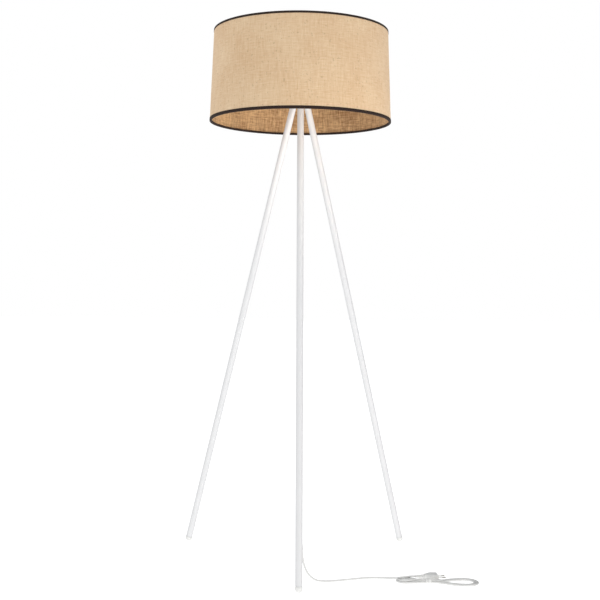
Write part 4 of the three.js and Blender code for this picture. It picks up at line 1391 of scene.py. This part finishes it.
def wire_radius(z):
    return film_radius(z) - (shade().film + shade().wire) / MM - GAP


def cloth_map(piece, seam_degrees=150.0, fold_z=None):
    """Lays the cloth flat: its width runs round the shade and its height runs up, in metres."""
    mesh = piece.data
    layer = mesh.uv_layers.new(name="Cloth")
    mean = cloth_radius(1324) * MM
    for face in mesh.polygons:
        middle = math.atan2(face.center.y - AXIS_Y * MM, face.center.x)
        middle = (middle - math.radians(seam_degrees)) % (2 * math.pi)
        for loop in face.loop_indices:
            at = mesh.vertices[mesh.loops[loop].vertex_index].co
            angle = math.atan2(at.y - AXIS_Y * MM, at.x) - math.radians(seam_degrees)
            angle = middle + math.remainder(angle - middle, 2 * math.pi)
            up = at.z
            if fold_z is not None:
                up = at.z + math.hypot(at.x, at.y - AXIS_Y * MM)
            layer.data[loop].uv = (angle * mean, up)


class LAMP_OT_cloth(bpy.types.Operator):
    """Rolls the jute cloth and its clear backing film into the drum"""

    bl_idname = "floor_lamp.cloth"
    bl_label = "Shade cloth"

    def drum(self, name, outside, thick, low, high, ripple):
        """A thin conical wall. ripple is how far the cloth lies off a true cone."""
        rows = steps(low, high, 8.0)
        outline = [(outside(z), z) for z in rows] + [(outside(z) - thick, z) for z in rows[::-1]]
        drum = spun(name, outline, 240)
        for vertex in drum.data.vertices:
            out = Vector((vertex.co.x, vertex.co.y, 0)).normalized()
            wave = noise.noise(Vector((out.x * 5, out.y * 5, vertex.co.z * 14)))
            inside = min(1.0, (vertex.co.z / MM - low) / 12, (high - vertex.co.z / MM) / 12)
            vertex.co += out * wave * ripple * max(0.0, inside) * MM
        put(drum, ON_AXIS)
        cloth_map(drum)
        return drum

    def seam(self, low, high):
        """The cloth's outer end, glued down over its start at the back."""
        rows = steps(low, high, 8.0)
        only()
        bpy.ops.mesh.primitive_grid_add(x_subdivisions=6, y_subdivisions=len(rows) - 1, size=1)
        strip = bpy.context.object
        strip.name = "cloth_overlap"
        for vertex in strip.data.vertices:
            along, t = vertex.co.x, vertex.co.y + 0.5
            z = low + (high - low) * t
            frayed = 0.35 * noise.noise(Vector((z * 0.35, 3.1, 0))) if along > 0.45 else 0
            angle = math.radians(150) + (along * 14 + frayed) / cloth_radius(z)
            reach = cloth_radius(z) + 0.22
            vertex.co = Vector((reach * math.cos(angle), reach * math.sin(angle), z)) * MM
        only(strip)
        bpy.ops.object.mode_set(mode="EDIT")
        bpy.ops.mesh.select_all(action="SELECT")
        bpy.ops.mesh.normals_make_consistent(inside=False)
        bpy.ops.object.mode_set(mode="OBJECT")
        finished_by(strip, "SOLIDIFY", thickness=0.5 * MM, offset=0.0)
        put(strip, ON_AXIS)
        cloth_map(strip, seam_degrees=0)
        return strip

    def execute(self, context):
        s = shade()
        low = s.bottom / MM + s.tape / MM + GAP
        high = (s.bottom + s.height - s.tape) / MM - GAP
        cloth = self.drum("jute_drum", cloth_radius, s.cloth / MM, low, high, 0.16)
        done(cloth, finish("jute"), "stand", "jute", "shade_jute")
        film = self.drum("backing_film", film_radius, s.film / MM, low, high, 0.0)
        # The film wears the lining finish, with painted shade and painted light-through colours
        # inside the drum.
        done(film, finish("lining_with_painted_shade"), "stand", "shade_film", "shade_film")
        seam = self.seam(low + 7.2, high - 5.9)
        done(seam, finish("jute"), "stand", "jute")
        return {"FINISHED"}


class LAMP_OT_tapes(bpy.types.Operator):
    """Folds the dark edge tape over both rims of the shade"""

    bl_idname = "floor_lamp.tapes"
    bl_label = "Edge tapes"

    def tape(self, name, rim, way, outside, inside):
        """The tape's section: down the outside, round the rim and up behind the wire."""
        thick = shade().tape / MM
        inner = wire_radius(rim) - shade().wire / MM - GAP - thick
        outer = tape_radius(rim)
        soft = 1.2  # radius of the fold

        def at(depth):
            return rim + way * depth

        def outer_at(depth):
            return tape_radius(at(depth))

        skin = [(outer_at(outside) - 0.1, at(outside)),
                (outer_at(outside - 0.3), at(outside - 0.3))]
        skin += [(outer_at(d), at(d)) for d in (outside * 0.6, soft)]
        skin += [(outer - soft + soft * math.cos(a), at(soft - soft * math.sin(a)))
                 for a in (0.5, 1.05, 1.57)]
        skin += [(inner + soft - soft * math.sin(a), at(soft - soft * math.cos(a)))
                 for a in (0.0, 0.5, 1.05, 1.57)]
        skin += [(inner, at(inside - 0.2)), (inner + 0.1, at(inside))]
        back = [(inner + thick, at(inside)), (inner + thick, at(soft))]
        k = soft - thick
        back += [(inner + soft - k * math.cos(a), at(soft - k * math.sin(a)))
                 for a in (0.8, 1.57)]
        back += [(outer - soft + k * math.sin(a), at(soft - k * math.cos(a)))
                 for a in (0.0, 0.8, 1.57)]
        back += [(outer_at(outside) - thick, at(outside))]
        tape = spun(name, skin + back, 240)
        for vertex in tape.data.vertices:  # slight puckers where the tape goes round the rim
            out = Vector((vertex.co.x, vertex.co.y, 0)).normalized()
            pucker = noise.noise(Vector((out.x * 60, out.y * 60, vertex.co.z * 20)))
            vertex.co += out * pucker * 0.07 * MM
        put(tape, ON_AXIS)
        cloth_map(tape, fold_z=rim)
        return tape

    def execute(self, context):
        s = shade()
        top = (s.bottom + s.height) / MM
        for name, rim, way, outside, inside, node in (
            ("edge_tape_top", top, -1, 6.0, 3.5, "shade_top_trim"),
            ("edge_tape_bottom", s.bottom / MM, 1, 7.5, 5.5, "shade_bottom_trim"),
        ):
            tape = self.tape(name, rim, way, outside, inside)
            done(tape, finish("tape"), "stand", "edge_tape", node)
        return {"FINISHED"}


class LAMP_OT_wires(bpy.types.Operator):
    """Bends and welds the wire rings and the spider that carries the shade"""

    bl_idname = "floor_lamp.wires"
    bl_label = "Shade frame"

    def ring(self, name, z):
        only()
        bpy.ops.mesh.primitive_torus_add(
            location=(0, AXIS_Y * MM, z * MM), major_radius=wire_radius(z) * MM,
            minor_radius=shade().wire, major_segments=240, minor_segments=16,
        )
        ring = bpy.context.object
        ring.name = name
        bpy.ops.object.transform_apply(location=True, rotation=True, scale=True)
        # A butt weld closes the wire: a slightly thicker place.
        for vertex in ring.data.vertices:
            out = Vector((vertex.co.x, vertex.co.y - AXIS_Y * MM))
            off = math.remainder(math.atan2(out.y, out.x) - math.radians(100), 2 * math.pi)
            swell = 0.16 * math.exp(-((off * wire_radius(z) / 2.4) ** 2))
            centre = out.normalized() * wire_radius(z) * MM
            middle = Vector((centre.x, centre.y + AXIS_Y * MM, z * MM))
            vertex.co = middle + (vertex.co - middle) * (1 + swell)
        return ring

    def spider(self, ring_z, fitter_z):
        radius = shade().wire / MM
        start = Vector((26.9, 0, fitter_z + 1.1))
        end = Vector((wire_radius(ring_z) + 1.5, 0, ring_z - 2.95))
        line = end - start
        length = line.length - 1.2
        slope = Matrix.Rotation(math.atan2(line.x, line.z), 4, "Y")
        parts = []
        for azimuth in SPIDER_ARM_AZIMUTHS:
            place = ON_AXIS @ turn(azimuth) @ shift(start.x, 0, start.z) @ slope
            arm = spun("arm", [
                (0, 0), (radius, 0), (radius, length - 0.6), (radius - 0.5, length), (0, length)],
                24, True)
            parts.append(put(arm, place))
            only()
            bpy.ops.mesh.primitive_uv_sphere_add(segments=24, ring_count=12, radius=2.3 * MM)
            bead = bpy.context.object
            bead.scale = (1.3, 1.25, 0.45)
            bpy.ops.object.transform_apply(location=True, rotation=True, scale=True)
            parts.append(put(bead, ON_AXIS @ turn(azimuth) @ shift(26.6, 0, fitter_z + 1.3)))
        fitter = spun("shade_fitter", [
            (20.2, fitter_z), (27.6, fitter_z), (28, fitter_z + 0.4), (28, fitter_z + 1.4),
            (27.6, fitter_z + 1.8), (20.4, fitter_z + 1.8), (20.2, fitter_z + 1.6)], 96)
        put(fitter, ON_AXIS)
        for part in parts:
            combined(fitter, part, "UNION")
        return fitter

    def execute(self, context):
        s = shade()
        edge = (s.tape + s.wire) / MM + GAP
        bottom, top = s.bottom / MM + edge, (s.bottom + s.height) / MM - edge
        for name, z, node in (("rim_wire_bottom", bottom, "shade_bottom_ring"),
                              ("rim_wire_top", top, "shade_top_ring")):
            done(self.ring(name, z), finish("powder"), "stand", "powder_coat", node)
        fitter_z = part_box("shade_spider")[0].z / MM
        spider = self.spider(top, fitter_z)
        done(spider, finish("powder"), "stand", "powder_coat", "shade_spider")
        return {"FINISHED"}


class LAMP_OT_inside(bpy.types.Operator):
    """Finishes the pieces that stay inside the hub, the holder and the bulb"""

    bl_idname = "floor_lamp.inside"
    bl_label = "Inner pieces"

    def execute(self, context):
        coats = {
            "zinc": ("threaded_nipple", "nipple_nut", "nipple_washer"),
            "brass": ("holder_centre_contact", "holder_screw_shell", "holder_terminal_live",
                      "holder_terminal_neutral"),
            "thermoset": ("holder_insert",),
            "board": ("bulb_driver_board", "bulb_led_board"),
            "sheath": ("cord_inside",),
            "brown": ("wire_live",),
            "blue": ("wire_neutral",),
        }
        for coat, names in coats.items():
            for name in names:
                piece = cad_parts[name]
                piece.data.materials.clear()
                piece.data.materials.append(finish(coat))
        return {"FINISHED"}


class LAMP_PT_panel(bpy.types.Panel):
    """Lists the lamp's sizes, colours and pieces"""

    bl_idname = "LAMP_PT_panel"
    bl_label = "Floor Lamp"
    bl_space_type = "VIEW_3D"
    bl_region_type = "UI"
    bl_category = "Floor Lamp"

    def draw(self, context):
        scene = context.scene
        for group in (scene.lamp_stand, scene.lamp_shade, scene.lamp_lead, scene.lamp_finishes):
            box = self.layout.box()
            for key in group.bl_rna.properties.keys():
                if key not in {"rna_type", "name"}:
                    box.prop(group, key)
        for operator in OPERATORS:
            self.layout.operator(operator.bl_idname)


GROUPS = {
    "lamp_stand": StandSizes,
    "lamp_shade": ShadeSizes,
    "lamp_lead": LeadSizes,
    "lamp_finishes": Finishes,
}
OPERATORS = (
    LAMP_OT_stage, LAMP_OT_lead, LAMP_OT_tie, LAMP_OT_plug, LAMP_OT_legs, LAMP_OT_feet,
    LAMP_OT_relief, LAMP_OT_hub, LAMP_OT_holder, LAMP_OT_bulb, LAMP_OT_cloth, LAMP_OT_tapes,
    LAMP_OT_wires, LAMP_OT_inside,
)


def register():
    for cls in (*GROUPS.values(), *OPERATORS, LAMP_PT_panel):
        bpy.utils.register_class(cls)
    for key, group in GROUPS.items():
        setattr(bpy.types.Scene, key, PointerProperty(type=group))


def unregister():
    for key in GROUPS:
        delattr(bpy.types.Scene, key)
    for cls in (LAMP_PT_panel, *reversed(OPERATORS), *reversed(GROUPS.values())):
        bpy.utils.unregister_class(cls)


def main():
    register()
    for operator in OPERATORS:
        group, action = operator.bl_idname.split(".")
        getattr(getattr(bpy.ops, group), action)()


if __name__ == "__main__":
    main()
